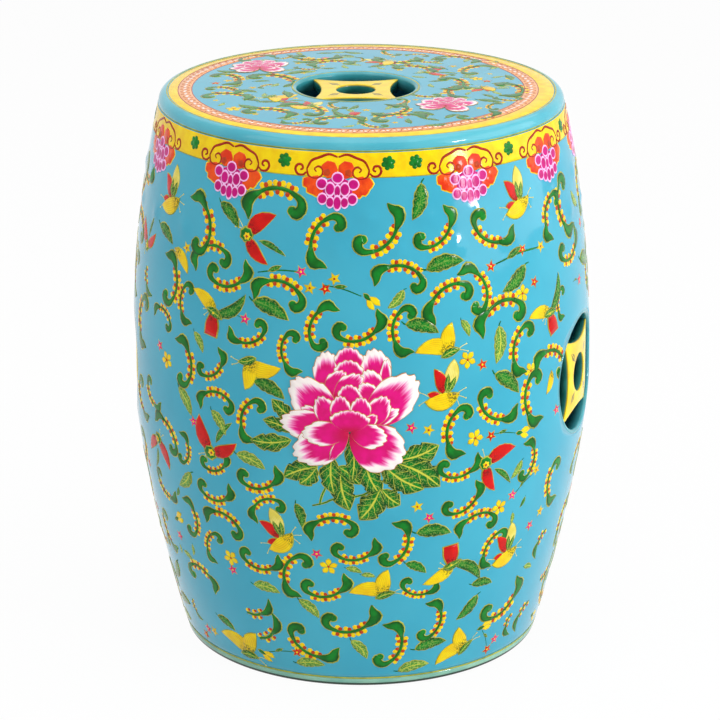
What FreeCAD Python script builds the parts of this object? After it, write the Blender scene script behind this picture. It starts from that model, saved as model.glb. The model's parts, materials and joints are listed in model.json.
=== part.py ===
import FreeCAD, Part
import math
import os

# Ceramic garden stool, in millimetres, with +Z up.
# The origin is the middle of the foot, on the floor. The front is -Y.

# Overall size
total_height = 460.0
waist_radius = 188.9
waist_height = 223.2
foot_radius = 147.7
shoulder_radius = 166.7
shoulder_height = 438.0

# How fast the wall leaves the waist, as powers of the distance from it
lower_swell = 1.48
upper_swell = 2.09
profile_points = 9

# Clay thicknesses
wall_thickness = 9.0
seat_thickness = 10.0
foot_ring_thickness = 7.6

# Seat slab and the moulding round its edge
seat_edge_radius = 156.0
seat_rebate_width = 4.0
seat_rebate_depth = 5.0
rim_bead_radius = 7.4

# Foot ring, turned in under the wall
foot_hole_radius = 114.0
foot_edge_radius = 2.0

# Rolls of clay pressed into the inner corners
seat_coil_radius = 10.0
foot_coil_radius = 8.0

# Round windows and the openwork tile that fills each
window_radius = 51.0
collar_width = 3.5
collar_edge_radius = 2.4
fret_recess = 2.5
fret_waist = 28.0
fret_hole_radius = 15.6
side_window_height = 238.0
right_window_angle = 72.0
left_window_angle = -90.0
seat_window_offset = -4.5

# The barrel is made in three courses. The middle one is two slabs that meet at the windows.
course_margin = 8.0

# Heights that follow from the sizes above
wall_top = total_height - seat_thickness
wall_bottom = foot_ring_thickness
course_low = side_window_height - window_radius - course_margin
course_high = side_window_height + window_radius + course_margin
section_angle = 90
fit_check = 0.05
axis_point = FreeCAD.Vector(0, 0, 0)
up = FreeCAD.Vector(0, 0, 1)


def outer_radius(z):
    """Radius of the barrel's outside at height z."""
    if z < waist_height:
        share = (waist_height - z) / waist_height
        return waist_radius - (waist_radius - foot_radius) * share ** lower_swell
    share = (z - waist_height) / (shoulder_height - waist_height)
    return waist_radius - (waist_radius - shoulder_radius) * share ** upper_swell


def at(r, z):
    """Point of the right-hand half section."""
    return FreeCAD.Vector(r, 0, z)


def line(start, end):
    return Part.LineSegment(start, end).toShape()


def wall_curve(z_low, z_high, depth):
    """Smooth curve of the wall's profile, set in from the outside by depth."""
    step = (z_high - z_low) / (profile_points - 1)
    heights = [z_low + step * i for i in range(profile_points)]
    curve = Part.BSplineCurve()
    curve.interpolate([at(outer_radius(z) - depth, z) for z in heights])
    return curve.toShape()


def turned(edges, first_angle=0, sweep=360):
    """Solid of revolution of a closed half section, all round or from one angle on."""
    face = Part.Face(Part.Wire(Part.__sortEdges__(edges)))
    face.rotate(axis_point, up, first_angle - section_angle)
    return face.revolve(axis_point, up, sweep)


def shell(z_low, z_high, outer_depth, inner_depth, first_angle=0, sweep=360):
    """Band of the barrel between two depths under its outside."""
    outside = wall_curve(z_low, z_high, outer_depth)
    inside = wall_curve(z_low, z_high, inner_depth)
    bottom = line(inside.valueAt(inside.FirstParameter), outside.valueAt(outside.FirstParameter))
    top = line(inside.valueAt(inside.LastParameter), outside.valueAt(outside.LastParameter))
    return turned([outside, top, inside, bottom], first_angle, sweep)


def fret_outline():
    """Square with hollow sides, its corners on the window's edge."""
    corner = window_radius / math.sqrt(2)
    corners = [(corner, -corner), (corner, corner), (-corner, corner), (-corner, -corner)]
    middles = [(fret_waist, 0), (0, fret_waist), (-fret_waist, 0), (0, -fret_waist)]
    sides = []
    for i, middle in enumerate(middles):
        start = FreeCAD.Vector(*corners[i], 0)
        end = FreeCAD.Vector(*corners[(i + 1) % 4], 0)
        sides.append(Part.Arc(start, FreeCAD.Vector(*middle, 0), end).toShape())
    return Part.Wire(sides)


def fret_prism(length):
    """Fret with its middle hole and its tips in the collar, drawn along +Z from z = 0."""
    web = Part.Face(fret_outline()).extrude(up * length)
    tips = Part.makeCylinder(window_radius - collar_width / 2, length)
    return web.common(tips).cut(Part.makeCylinder(fret_hole_radius, length))


def collar_prism(length):
    """Ring that edges the window, drawn along +Z from z = 0."""
    ring = Part.makeCylinder(window_radius, length)
    return ring.cut(Part.makeCylinder(window_radius - collar_width, length))


def aimed(shape, angle):
    """Turn a shape drawn along +Z to leave the axis at the window's height and angle."""
    shape = shape.copy()
    shape.rotate(axis_point, FreeCAD.Vector(1, 0, 0), 90)
    shape.rotate(axis_point, up, angle)
    shape.translate(up * side_window_height)
    return shape


def hole_edges(collar, is_outside):
    """Edges of the collar's hole, of those whose every point passes the test."""
    found = []
    for face in collar.Faces:
        if not isinstance(face.Surface, Part.Cylinder):
            continue
        if abs(face.Surface.Radius - (window_radius - collar_width)) > fit_check:
            continue
        found += [e for e in face.Edges if all(is_outside(p) for p in e.discretize(5))]
    return found


def on_barrel(point):
    """Whether a point lies on the barrel's outside."""
    return abs(math.hypot(point.x, point.y) - outer_radius(point.z)) < fit_check


def side_tile(angle):
    """Openwork tile that follows the barrel."""
    reach = waist_radius + wall_thickness
    collar = shell(course_low, course_high, 0, wall_thickness).common(aimed(collar_prism(reach), angle))
    collar = collar.makeFillet(collar_edge_radius, hole_edges(collar, on_barrel))
    web = shell(course_low, course_high, fret_recess, wall_thickness)
    web = web.common(aimed(fret_prism(reach), angle))
    return collar.fuse(web).removeSplitter()


def seat_tile():
    """Openwork tile in the middle of the seat."""
    collar = collar_prism(seat_thickness)
    top_edges = hole_edges(collar, lambda p: abs(p.z - seat_thickness) < fit_check)
    collar = collar.makeFillet(collar_edge_radius, top_edges)
    tile = collar.fuse(fret_prism(seat_thickness - fret_recess)).removeSplitter()
    tile.translate(FreeCAD.Vector(seat_window_offset, 0, wall_top))
    return tile


def window_wall(first_angle, last_angle):
    """Half of the middle course, from the middle of one round window to that of the other."""
    wall = shell(course_low, course_high, 0, wall_thickness, first_angle, last_angle - first_angle)
    for angle in (right_window_angle, left_window_angle):
        window = Part.makeCylinder(window_radius, waist_radius + wall_thickness)
        wall = wall.cut(aimed(window, angle))
    return wall


def seat_plate():
    """Flat slab on the wall's top edge, rebated for the moulding, with a round window."""
    upper = Part.makeCylinder(seat_edge_radius, seat_thickness)
    lower = Part.makeCylinder(seat_edge_radius + seat_rebate_width, seat_thickness - seat_rebate_depth)
    window = Part.makeCylinder(window_radius, seat_thickness, FreeCAD.Vector(seat_window_offset, 0, 0))
    slab = upper.fuse(lower).removeSplitter().cut(window)
    slab.translate(up * wall_top)
    return slab


def rim_bead():
    """Quarter-round moulding that covers the joint of seat and wall."""
    centre_z = total_height - rim_bead_radius
    drop = centre_z - wall_top
    toe_radius = seat_edge_radius + math.sqrt(rim_bead_radius ** 2 - drop ** 2)
    half_turn = math.radians(40)
    crest = at(seat_edge_radius, total_height)
    cheek = at(seat_edge_radius + rim_bead_radius * math.cos(half_turn),
               centre_z + rim_bead_radius * math.sin(half_turn))
    toe = at(toe_radius, wall_top)
    heel = at(seat_edge_radius + seat_rebate_width, wall_top)
    step = at(seat_edge_radius + seat_rebate_width, total_height - seat_rebate_depth)
    inner = at(seat_edge_radius, total_height - seat_rebate_depth)
    edges = [Part.Arc(crest, cheek, toe).toShape(), line(toe, heel), line(heel, step)]
    return turned(edges + [line(step, inner), line(inner, crest)])


def foot_ring():
    """Flat ring under the wall, its outside in line with the barrel."""
    outside = wall_curve(0, foot_ring_thickness, 0)
    low = at(foot_hole_radius, 0)
    high = at(foot_hole_radius, foot_ring_thickness)
    bottom = line(low, outside.valueAt(outside.FirstParameter))
    top = line(high, outside.valueAt(outside.LastParameter))
    ring = turned([outside, top, line(low, high), bottom])
    floor_edges = [e for e in ring.Edges if e.isClosed() and abs(e.CenterOfMass.z) < 0.01]
    return ring.makeFillet(foot_edge_radius, floor_edges)


def corner_coil(corner, radius, first_angle, last_angle, wall):
    """Roll of clay pressed into an inner corner, trimmed where it meets the wall."""
    def rim(angle):
        turn = math.radians(angle)
        return corner + FreeCAD.Vector(radius * math.cos(turn), 0, radius * math.sin(turn))
    middle = (first_angle + last_angle) / 2
    arc = Part.Arc(rim(first_angle), rim(middle), rim(last_angle)).toShape()
    coil = turned([line(corner, rim(first_angle)), arc, line(rim(last_angle), corner)])
    return coil.cut(wall)


def build():
    lower_wall = shell(wall_bottom, course_low, 0, wall_thickness)
    upper_wall = shell(course_high, wall_top, 0, wall_thickness)
    seat_corner = at(outer_radius(wall_top) - wall_thickness, wall_top)
    foot_corner = at(outer_radius(wall_bottom) - wall_thickness, wall_bottom)
    return {
        "lower_wall": lower_wall,
        "front_window_wall": window_wall(left_window_angle, right_window_angle),
        "back_window_wall": window_wall(right_window_angle, left_window_angle + 360),
        "upper_wall": upper_wall,
        "seat_plate": seat_plate(),
        "rim_bead": rim_bead(),
        "seat_fret": seat_tile(),
        "right_fret": side_tile(right_window_angle),
        "left_fret": side_tile(left_window_angle),
        "foot_ring": foot_ring(),
        "seat_luting_coil": corner_coil(seat_corner, seat_coil_radius, 180, 300, upper_wall),
        "foot_luting_coil": corner_coil(foot_corner, foot_coil_radius, 60, 180, lower_wall),
    }


os.makedirs("parts", exist_ok=True)
for name, shape in build().items():
    shape.exportStep("parts/" + name + ".step")
    box = shape.BoundBox
    print(name, len(shape.Solids), "solid", round(shape.Volume), "mm3",
          "z", round(box.ZMin, 2), round(box.ZMax, 2), "valid", shape.isValid())
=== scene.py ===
# %% [markdown]
# # A painted ceramic garden stool
# The stool is a hollow stoneware barrel with a flat seat, a rolled rim, a foot ring and three
# round openwork windows. A blue glaze covers the clay, and the flowers, leaves, scrolls and
# butterflies are enamels, painted over the glaze and fired again, so they stand a little proud.
# This lesson loads the solids as a fixed frame, gives each its glazed skin, and then paints it.

# %% Load the frame
import bpy
import json
import math
import numpy as np
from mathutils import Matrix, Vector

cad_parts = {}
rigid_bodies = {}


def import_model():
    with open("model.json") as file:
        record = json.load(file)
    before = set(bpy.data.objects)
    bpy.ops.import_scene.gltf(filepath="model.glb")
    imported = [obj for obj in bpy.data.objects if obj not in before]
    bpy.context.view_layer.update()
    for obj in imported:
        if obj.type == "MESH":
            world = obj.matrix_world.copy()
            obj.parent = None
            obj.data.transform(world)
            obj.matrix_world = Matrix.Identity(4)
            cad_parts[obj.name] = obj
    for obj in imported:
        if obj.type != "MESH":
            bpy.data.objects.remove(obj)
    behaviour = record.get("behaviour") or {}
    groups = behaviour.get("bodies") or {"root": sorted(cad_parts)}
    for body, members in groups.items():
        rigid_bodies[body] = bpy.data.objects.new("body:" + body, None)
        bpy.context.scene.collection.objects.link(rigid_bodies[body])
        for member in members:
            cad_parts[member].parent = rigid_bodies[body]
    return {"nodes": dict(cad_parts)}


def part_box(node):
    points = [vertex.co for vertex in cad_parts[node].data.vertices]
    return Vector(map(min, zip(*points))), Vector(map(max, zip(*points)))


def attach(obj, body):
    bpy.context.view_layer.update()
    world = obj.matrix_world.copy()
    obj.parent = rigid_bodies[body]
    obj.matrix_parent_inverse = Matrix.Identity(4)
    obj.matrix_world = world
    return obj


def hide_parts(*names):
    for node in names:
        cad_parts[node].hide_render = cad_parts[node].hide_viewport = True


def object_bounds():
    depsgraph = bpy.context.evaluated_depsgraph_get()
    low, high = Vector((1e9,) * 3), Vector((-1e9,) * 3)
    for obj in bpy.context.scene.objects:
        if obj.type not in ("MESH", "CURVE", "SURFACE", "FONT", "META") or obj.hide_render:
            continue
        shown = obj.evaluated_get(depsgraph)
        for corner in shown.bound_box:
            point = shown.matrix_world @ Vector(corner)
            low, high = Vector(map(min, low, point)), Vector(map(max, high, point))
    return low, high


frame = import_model()
cad_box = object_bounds()
print("nodes", sorted(frame["nodes"]))

# %% [markdown]
# ## Sizes
# Metres are the scene's unit, and potters measure in millimetres, so mm turns one into the other.
# The wall's profile leaves its widest ring, the waist, by one power law below and one above.
# An angle of 0 is the front of the stool, and angles grow towards the right-hand side.

# %% Sizes of the stool
mm = 0.001
total_height = cad_box[1].z
waist_radius = 188.9 * mm
waist_height = 223.2 * mm
foot_radius = 147.7 * mm
shoulder_radius = 166.7 * mm
shoulder_height = 438 * mm
lower_swell = 1.48
upper_swell = 2.09
wall_thickness = 9 * mm
wall_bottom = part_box("lower_wall")[0].z
wall_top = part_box("upper_wall")[1].z
course_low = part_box("front_window_wall")[0].z
course_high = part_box("front_window_wall")[1].z
window_radius = 51 * mm
window_height = (course_low + course_high) / 2
window_angles = {"right_fret": 72, "left_fret": -90}
seat_window_offset = -4.5 * mm


def outer_radius(z):
    """Radius of the barrel's outside at height z."""
    if z < waist_height:
        share = (waist_height - z) / waist_height
        return waist_radius - (waist_radius - foot_radius) * share ** lower_swell
    share = (z - waist_height) / (shoulder_height - waist_height)
    return waist_radius - (waist_radius - shoulder_radius) * share ** upper_swell


def around(angle, radius, z):
    """Point at an angle in degrees, a radius and a height."""
    turn = math.radians(angle)
    return (radius * math.sin(turn), -radius * math.cos(turn), z)


# %% [markdown]
# ## Low bosses under the glaze
# Two rings of flat swellings run round the shoulder, where a drum has its nails. They are soft
# bumps in the clay, so they are added to the wall's own radius rather than built as pieces.

# %% Bosses
boss_rings = ((376 * mm, -6), (402 * mm, 1.5))
boss_step = 15
boss_reach = 5.5 * mm
boss_height = 1.3 * mm


def boss(angle, z):
    """Height of the swelling at a point of the wall."""
    swelling = 0
    for ring_height, first_angle in boss_rings:
        aside = (angle - first_angle + boss_step / 2) % boss_step - boss_step / 2
        distance = math.hypot(math.radians(aside) * shoulder_radius, z - ring_height)
        swelling += boss_height * math.exp(-(distance / boss_reach) ** 2)
    return swelling


# %% [markdown]
# ## From points to pieces
# Every piece is a plain mesh whose object stays at the origin. One helper makes the mesh, and
# another gives it a finish, puts it on its body and hides the solids that it stands in for.

# %% Piece helper
def mesh_piece(name, points, faces, smooth=True):
    """A mesh object made of points and faces."""
    mesh = bpy.data.meshes.new(name)
    mesh.from_pydata(points, [], faces)
    mesh.polygons.foreach_set("use_smooth", [smooth] * len(mesh.polygons))
    mesh.update()
    made = bpy.data.objects.new(name, mesh)
    bpy.context.scene.collection.objects.link(made)
    return made


def dress(made, material, slot, stands_for=()):
    """Finish a piece, put it on the stool's body and hide the solids it stands for."""
    made.data.materials.clear()
    made.data.materials.append(material)
    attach(made, "root")
    if stands_for:
        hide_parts(*stands_for)
    print(made.name, len(made.data.polygons), "faces")
    return made


# %% [markdown]
# ## Finishes as sums
# A finish is a small tree of nodes. Wrapping each socket in a class that knows + - and * lets a
# pattern be written as a sum, and one method makes every other node. The same two classes build
# the geometry trees further down.

# %% Node kit
class Value:
    """A socket that can stand in a sum."""

    def __init__(self, tree, socket):
        self.tree = tree
        self.socket = socket

    def math(self, operation, *others):
        return Tree(self.tree).math(operation, self, *others)

    def __add__(self, other):
        return self.math("ADD", other)

    __radd__ = __add__

    def __sub__(self, other):
        return self.math("SUBTRACT", other)

    def __rsub__(self, other):
        return Tree(self.tree).math("SUBTRACT", other, self)

    def __mul__(self, other):
        return self.math("MULTIPLY", other)

    __rmul__ = __mul__

    def __truediv__(self, other):
        return self.math("DIVIDE", other)


class Tree:
    """Makes the nodes of one tree."""

    def __init__(self, tree):
        self.tree = tree

    def give(self, socket, item):
        """Link a socket, or set its plain value."""
        if isinstance(item, Value):
            self.tree.links.new(item.socket, socket)
        else:
            socket.default_value = item

    def node(self, kind, settings=(), inputs=()):
        """A node with its settings, then its inputs, by name or number."""
        made = self.tree.nodes.new(kind)
        for name, value in dict(settings).items():
            setattr(made, name, value)
        for name, item in dict(inputs).items():
            by_number = isinstance(name, int)
            socket = made.inputs[name] if by_number else next(
                s for s in made.inputs if s.name == name and s.enabled)
            self.give(socket, item)
        return made

    def take(self, kind, settings=(), inputs=(), output=0):
        """One output of a new node."""
        return Value(self.tree, self.node(kind, settings, inputs).outputs[output])

    def math(self, operation, *items):
        made = self.tree.nodes.new("ShaderNodeMath")
        made.operation = operation
        for socket, item in zip(made.inputs, items):
            self.give(socket, item)
        return Value(self.tree, made.outputs[0])

    def blend(self, factor, first, second):
        """Colour between two others."""
        made = self.node("ShaderNodeMix", {"data_type": "RGBA"}, {"Factor": factor, "A": first, "B": second})
        return Value(self.tree, next(s for s in made.outputs if s.enabled))

    def noise(self, where, scale, detail=2.0):
        return self.take("ShaderNodeTexNoise", (), {"Vector": where, "Scale": scale, "Detail": detail})

    def between(self, value, low, high):
        """Smooth step from 0 at low to 1 at high."""
        settings = {"interpolation_type": "SMOOTHSTEP"}
        return self.take("ShaderNodeMapRange", settings, {"Value": value, "From Min": low, "From Max": high})


def tint(red, green, blue):
    """Screen colour, 0 to 255, as light."""
    shares = [value / 255 for value in (red, green, blue)]
    return tuple(s / 12.92 if s <= 0.04045 else ((s + 0.055) / 1.055) ** 2.4 for s in shares) + (1,)


# %% [markdown]
# ## The glaze
# A fired glaze is glass over clay. Its colour pools and thins in soft clouds, and its skin is
# never quite flat, which breaks up reflections. The clouds go to the colour and the waves to a
# Bump node, while the gloss stays one plain number.

# %% Glaze and enamel
glaze_gloss = 0.4
speck_size = 1.6 * mm
speck_strength = 0.35
# Near-black green: painted shade along the foot's bottom edge, where the stool meets the floor.
foot_shade_colour = tint(38, 60, 48)


def new_finish(name, roughness, gloss=0.5):
    """Material with a plain gloss, its tree, and its place in the stool."""
    material = bpy.data.materials.new(name)
    material.use_nodes = True
    tree = Tree(material.node_tree)
    shader = material.node_tree.nodes["Principled BSDF"]
    shader.inputs["Roughness"].default_value = roughness
    shader.inputs["Specular IOR Level"].default_value = gloss
    place = tree.take("ShaderNodeTexCoord", output="Object")
    return material, tree, shader, place


def ripple(tree, shader, place, wave_size, wave, grain_size, grain):
    """Waves and fine grain of a fired surface, given as lengths and heights."""
    waves = tree.noise(place, 1 / wave_size, 1.0) * wave
    grains = tree.noise(place, 1 / grain_size, 2.0) * grain
    normal = tree.take("ShaderNodeBump", (), {"Strength": 1.0, "Distance": 1.0, "Height": waves + grains})
    tree.give(shader.inputs["Normal"], normal)


def glaze(name, thin, pooled, roughness=0.08, cloud=60 * mm, wave=0.35 * mm, shade_below=0):
    """Glaze whose colour clouds between where it runs thin and where it pools."""
    material, tree, shader, place = new_finish(name, roughness, glaze_gloss)
    clouds = tree.between(tree.noise(place, 1 / cloud, 3.0), 0.3, 0.7)
    specks = tree.between(tree.noise(place, 1 / speck_size, 2.0), 0.68, 0.8)
    colour = tree.blend(specks * speck_strength, tree.blend(clouds, thin, pooled), pooled)
    # Towards the bottom the colour darkens to a near-black green: painted shade along the lower edge.
    if shade_below:
        height = tree.take("ShaderNodeSeparateXYZ", (), {"Vector": place}, output="Z")
        colour = tree.blend(tree.between(height, 1.3 * shade_below, shade_below), colour, foot_shade_colour)
    tree.give(shader.inputs["Base Color"], colour)
    ripple(tree, shader, place, 45 * mm, wave, 2.5 * mm, 0.012 * mm)
    return material


# Height of the band of painted shade at the foot's bottom edge.
foot_shade_height = 2.4 * mm
blue_glaze = glaze("blue_glaze", tint(58, 170, 196), tint(46, 162, 190), cloud=90 * mm)
rim_glaze = glaze("rim_glaze", tint(84, 180, 196), tint(60, 166, 186))
teal_glaze = glaze("teal_glaze", tint(74, 168, 180), tint(52, 150, 160), cloud=20 * mm)
foot_glaze = glaze("foot_glaze", tint(150, 200, 176), tint(124, 182, 164), cloud=25 * mm,
                   shade_below=foot_shade_height)
print("glazes ready")

# %% [markdown]
# ## The barrel's skin
# The wall is one smooth surface with two round windows. Cutting them with a Boolean would leave
# long thin faces that spoil the gloss, so the grid leaves a square out round each window and a
# ring of rays joins that square to the circle. The inside is the same grid, set in by the wall.

# %% Wall grid
columns = 300
column_step = 360 / columns
window_half_columns = 15
middle_rows = 2 * window_half_columns
lower_rows = 43
upper_rows = 39
ray_rings = 5


def row_heights():
    """Heights of the grid's rows, course by course."""
    low = np.linspace(wall_bottom, course_low, lower_rows + 1)
    middle = np.linspace(course_low, course_high, middle_rows + 1)
    high = np.linspace(course_high, wall_top, upper_rows + 1)
    return list(low) + list(middle[1:]) + list(high[1:])


heights = row_heights()


def wall_point(angle, z, depth):
    """Point of the wall, depth under its outside."""
    swelling = boss(angle, z) if depth == 0 else 0
    return around(angle, outer_radius(z) - depth + swelling, z)


def square_edge(centre_column):
    """Grid places round the square that a window leaves out, from its low right corner."""
    half, low, high = window_half_columns, lower_rows, lower_rows + middle_rows
    left, right = centre_column - half, centre_column + half
    up_right = [(right, low + i) for i in range(middle_rows)]
    along_top = [(right - i, high) for i in range(middle_rows)]
    down_left = [(left, high - i) for i in range(middle_rows)]
    along_bottom = [(left + i, low) for i in range(middle_rows)]
    return up_right + along_top + down_left + along_bottom


def circle_place(share, centre_angle, depth):
    """Angle and height of the window's edge, a share of the way round."""
    turn = 2 * math.pi * share - math.pi / 4
    z = window_height + window_radius * math.sin(turn)
    aside = math.asin(window_radius * math.cos(turn) / (outer_radius(z) - depth))
    return centre_angle + math.degrees(aside), z


def in_square(column, row, centre_columns):
    """Whether a grid cell lies in a window's square."""
    if not lower_rows <= row < lower_rows + middle_rows:
        return False
    half = window_half_columns
    return any((column - centre + half) % columns < 2 * half for centre in centre_columns)


def wall_layer(depth):
    """Points and outward quads of one side of the wall."""
    places = {}
    points = []
    quads = []

    def corner(column, row):
        key = (column % columns, row)
        if key not in places:
            places[key] = len(points)
            points.append(wall_point(key[0] * column_step, heights[row], depth))
        return places[key]

    centres = [round(angle / column_step) for angle in window_angles.values()]
    for column in range(columns):
        for row in range(len(heights) - 1):
            if not in_square(column, row, centres):
                quads.append((corner(column, row), corner(column + 1, row),
                              corner(column + 1, row + 1), corner(column, row + 1)))
    for centre, centre_angle in zip(centres, window_angles.values()):
        edge = square_edge(centre)
        rings = []
        for ring in range(ray_rings):
            share = ring / ray_rings
            start = len(points)
            for i, (column, row) in enumerate(edge):
                near = circle_place(i / len(edge), centre_angle, depth)
                angle = near[0] + (column * column_step - near[0]) * share
                z = near[1] + (heights[row] - near[1]) * share
                points.append(wall_point(angle, z, depth))
            rings.append([start + i for i in range(len(edge))])
        rings.append([corner(column, row) for column, row in edge])
        for near, far in zip(rings, rings[1:]):
            for i in range(len(edge)):
                j = (i + 1) % len(edge)
                quads.append((near[i], far[i], far[j], near[j]))
    return points, quads


def close_shell(outer, inner):
    """One closed shell from two layers with the same faces."""
    points = outer[0] + inner[0]
    shift = len(outer[0])
    quads = list(outer[1]) + [tuple(shift + i for i in reversed(quad)) for quad in inner[1]]
    sides = {}
    for quad in outer[1]:
        for a, b in zip(quad, quad[1:] + quad[:1]):
            sides[(a, b)] = True
    for a, b in sides:
        if (b, a) not in sides:
            quads.append((b, a, a + shift, b + shift))
    return points, quads


wall = mesh_piece("glazed_wall", *close_shell(wall_layer(0), wall_layer(wall_thickness)))
dress(wall, blue_glaze, "blue_glaze", ["lower_wall", "front_window_wall", "back_window_wall", "upper_wall"])

# %% [markdown]
# ## Pieces thrown on the wheel
# The rolled rim, the foot ring and every painted ring round the barrel are turned shapes: a
# closed outline in the half section, carried round the axis.

# %% Turned pieces
turn_steps = 240


def ring_quads(steps, count):
    """Faces that join closed outlines of count points, one after another round a ring."""
    quads = []
    for i in range(steps):
        near, far = i * count, (i + 1) % steps * count
        for k in range(count):
            m = (k + 1) % count
            quads.append((near + k, far + k, far + m, near + m))
    return quads


def turned(name, outline, steps=turn_steps):
    """Closed ring from an outline of (radius, height) points, listed anticlockwise."""
    points = [around(i * 360 / steps, radius, z) for i in range(steps) for radius, z in outline]
    return mesh_piece(name, points, ring_quads(steps, len(outline)))


def arc(centre, radius, first, last, count):
    """Points on an arc, angles in degrees from the outward direction."""
    turns = np.radians(np.linspace(first, last, count))
    return [(centre[0] + radius * math.cos(t), centre[1] + radius * math.sin(t)) for t in turns]


seat_edge_radius = 156 * mm
rim_bead_radius = 7.4 * mm
tuck = 1 * mm
rim_step = 0.6 * mm
rim_heel = 6 * mm
bead_centre = (seat_edge_radius, total_height - rim_bead_radius)
bead_toe = math.degrees(math.asin((wall_top - bead_centre[1]) / rim_bead_radius))
rim_outline = arc(bead_centre, rim_bead_radius, bead_toe, 90, 14)
rim_outline += [(seat_edge_radius - tuck, total_height - rim_step)]
rim_outline += [(seat_edge_radius - tuck, wall_top - tuck), (seat_edge_radius + rim_heel, wall_top - tuck)]
rim = turned("rolled_rim", rim_outline)
dress(rim, rim_glaze, "turquoise_glaze", ["rim_bead"])

foot_hole_radius = 114 * mm
foot_edge_radius = 2 * mm
hole_edge = 1 * mm
foot_low = outer_radius(foot_edge_radius)
foot_outline = arc((foot_low - foot_edge_radius, foot_edge_radius), foot_edge_radius, -90, 0, 6)
foot_outline += [(outer_radius(wall_bottom / 2), wall_bottom / 2), (outer_radius(wall_bottom), wall_bottom)]
foot_outline += [(foot_hole_radius + hole_edge, wall_bottom), (foot_hole_radius, wall_bottom - hole_edge)]
foot_outline += [(foot_hole_radius, hole_edge), (foot_hole_radius + hole_edge, 0)]
foot = turned("glazed_foot", foot_outline)
dress(foot, foot_glaze, "foot_glaze", ["foot_ring"])

# %% [markdown]
# ## The seat
# The slab is a disc with an off-centre round window, a little domed so that rain runs off. Rings
# that slide from the window's circle to the slab's edge give it an even grid.

# %% Seat skin
seat_dome = 1.6 * mm
seat_rings = 34
seat_drop = 0.2 * mm


def seat_height(x, y):
    """Height of the seat's top at a point."""
    share = min(1, math.hypot(x, y) / seat_edge_radius)
    return total_height - seat_drop + seat_dome * (1 - share ** 4)


def seat_skin():
    """Closed slab with its window."""
    points = []
    quads = []
    rings = []
    for ring in range(seat_rings + 1):
        share = ring / seat_rings
        radius = window_radius + (seat_edge_radius - window_radius) * share
        shift = seat_window_offset * (1 - share)
        start = len(points)
        for i in range(turn_steps):
            x, y, z = around(i * 360 / turn_steps, radius, 0)
            points.append((x + shift, y, seat_height(x + shift, y)))
        rings.append(start)
    for radius, shift in ((seat_edge_radius, 0), (window_radius, seat_window_offset)):
        start = len(points)
        for i in range(turn_steps):
            x, y, z = around(i * 360 / turn_steps, radius, wall_top)
            points.append((x + shift, y, z))
        rings.append(start)
    for near, far in zip(rings, rings[1:] + rings[:1]):
        for i in range(turn_steps):
            j = (i + 1) % turn_steps
            quads.append((near + i, far + i, far + j, near + j))
    return points, quads


seat = mesh_piece("glazed_seat", *seat_skin())
dress(seat, blue_glaze, "blue_glaze", ["seat_plate"])

# %% [markdown]
# ## Openwork windows
# Each window has a rolled blue collar and a yellow web: a square with hollow sides, its corners
# in the collar and a round hole in its middle. Collar and web are loops round the window, so
# one function carries a closed outline round it. On the barrel the loop is bent to the wall.

# %% Window loops
collar_width = 3.5 * mm
fret_recess = 2.5 * mm
fret_waist = 28 * mm
fret_hole_radius = 15.6 * mm
loop_steps = 192
tip_in_collar = 0.4 * collar_width
fret_tip = window_radius / math.sqrt(2)
side_centre = (2 * fret_tip ** 2 - fret_waist ** 2) / (2 * (fret_tip - fret_waist))
side_radius = side_centre - fret_waist


def web_reach(turn):
    """Distance from the window's middle to the web's edge, in a direction."""
    aside = (turn + math.pi / 4) % (math.pi / 2) - math.pi / 4
    across = side_centre * math.sin(aside)
    reach = side_centre * math.cos(aside) - math.sqrt(side_radius ** 2 - across ** 2)
    return min(reach, window_radius - tip_in_collar)


window_rise = seat_height(window_radius, 0)


def seat_place(u, v, depth):
    """Point of the seat's window."""
    return (seat_window_offset + u, v, window_rise - depth)


def side_place(centre_angle):
    """Function that gives the points of a window in the wall."""
    def place(u, v, depth):
        z = window_height + v
        radius = outer_radius(z) - depth
        angle = centre_angle + math.degrees(math.asin(u / radius))
        return around(angle, radius, z)
    return place


def store_vectors(made, name, values):
    """Keep one vector for each point of a mesh."""
    attribute = made.data.attributes.new(name, "FLOAT_VECTOR", "POINT")
    attribute.data.foreach_set("vector", np.array(values, float).ravel())


def window_loop(name, place, outline, back):
    """Closed loop round a window. The outline maps a direction to (reach, depth) points."""
    points = []
    paint = []
    for i in range(loop_steps):
        turn = 2 * math.pi * i / loop_steps
        for reach, depth in outline(turn, back):
            points.append(place(reach * math.cos(turn), reach * math.sin(turn), depth))
            paint.append((reach / mm, depth / mm, (math.degrees(turn) - 45) % 90))
    made = mesh_piece(name, points, ring_quads(loop_steps, len(outline(0, back))))
    store_vectors(made, "paint", paint)
    return made


collar_roll = 2.6 * mm
web_round = 1.1 * mm


def collar_outline(turn, back):
    """Half section of the collar, rolled over at its inner edge."""
    inner = window_radius - collar_width
    roll = arc((inner + collar_roll, -collar_roll), collar_roll, 90, 180, 7)
    rolled = [(reach, -height) for reach, height in roll]
    return [(inner, back), (window_radius, back), (window_radius, 0)] + rolled


def web_outline(turn, back):
    """Half section of the web, with softly rounded edges."""
    near, far = fret_hole_radius, web_reach(turn)
    top, soft = fret_recess, 0.3 * web_round
    outline = [(near, back), (far, back), (far, top + web_round), (far - soft, top + soft)]
    steps = 7
    width = far - near - 2 * web_round
    outline += [(far - web_round - width * i / steps, top) for i in range(steps + 1)]
    return outline + [(near + soft, top + soft), (near, top + web_round)]


leaf_mark_reach = 24


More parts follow.
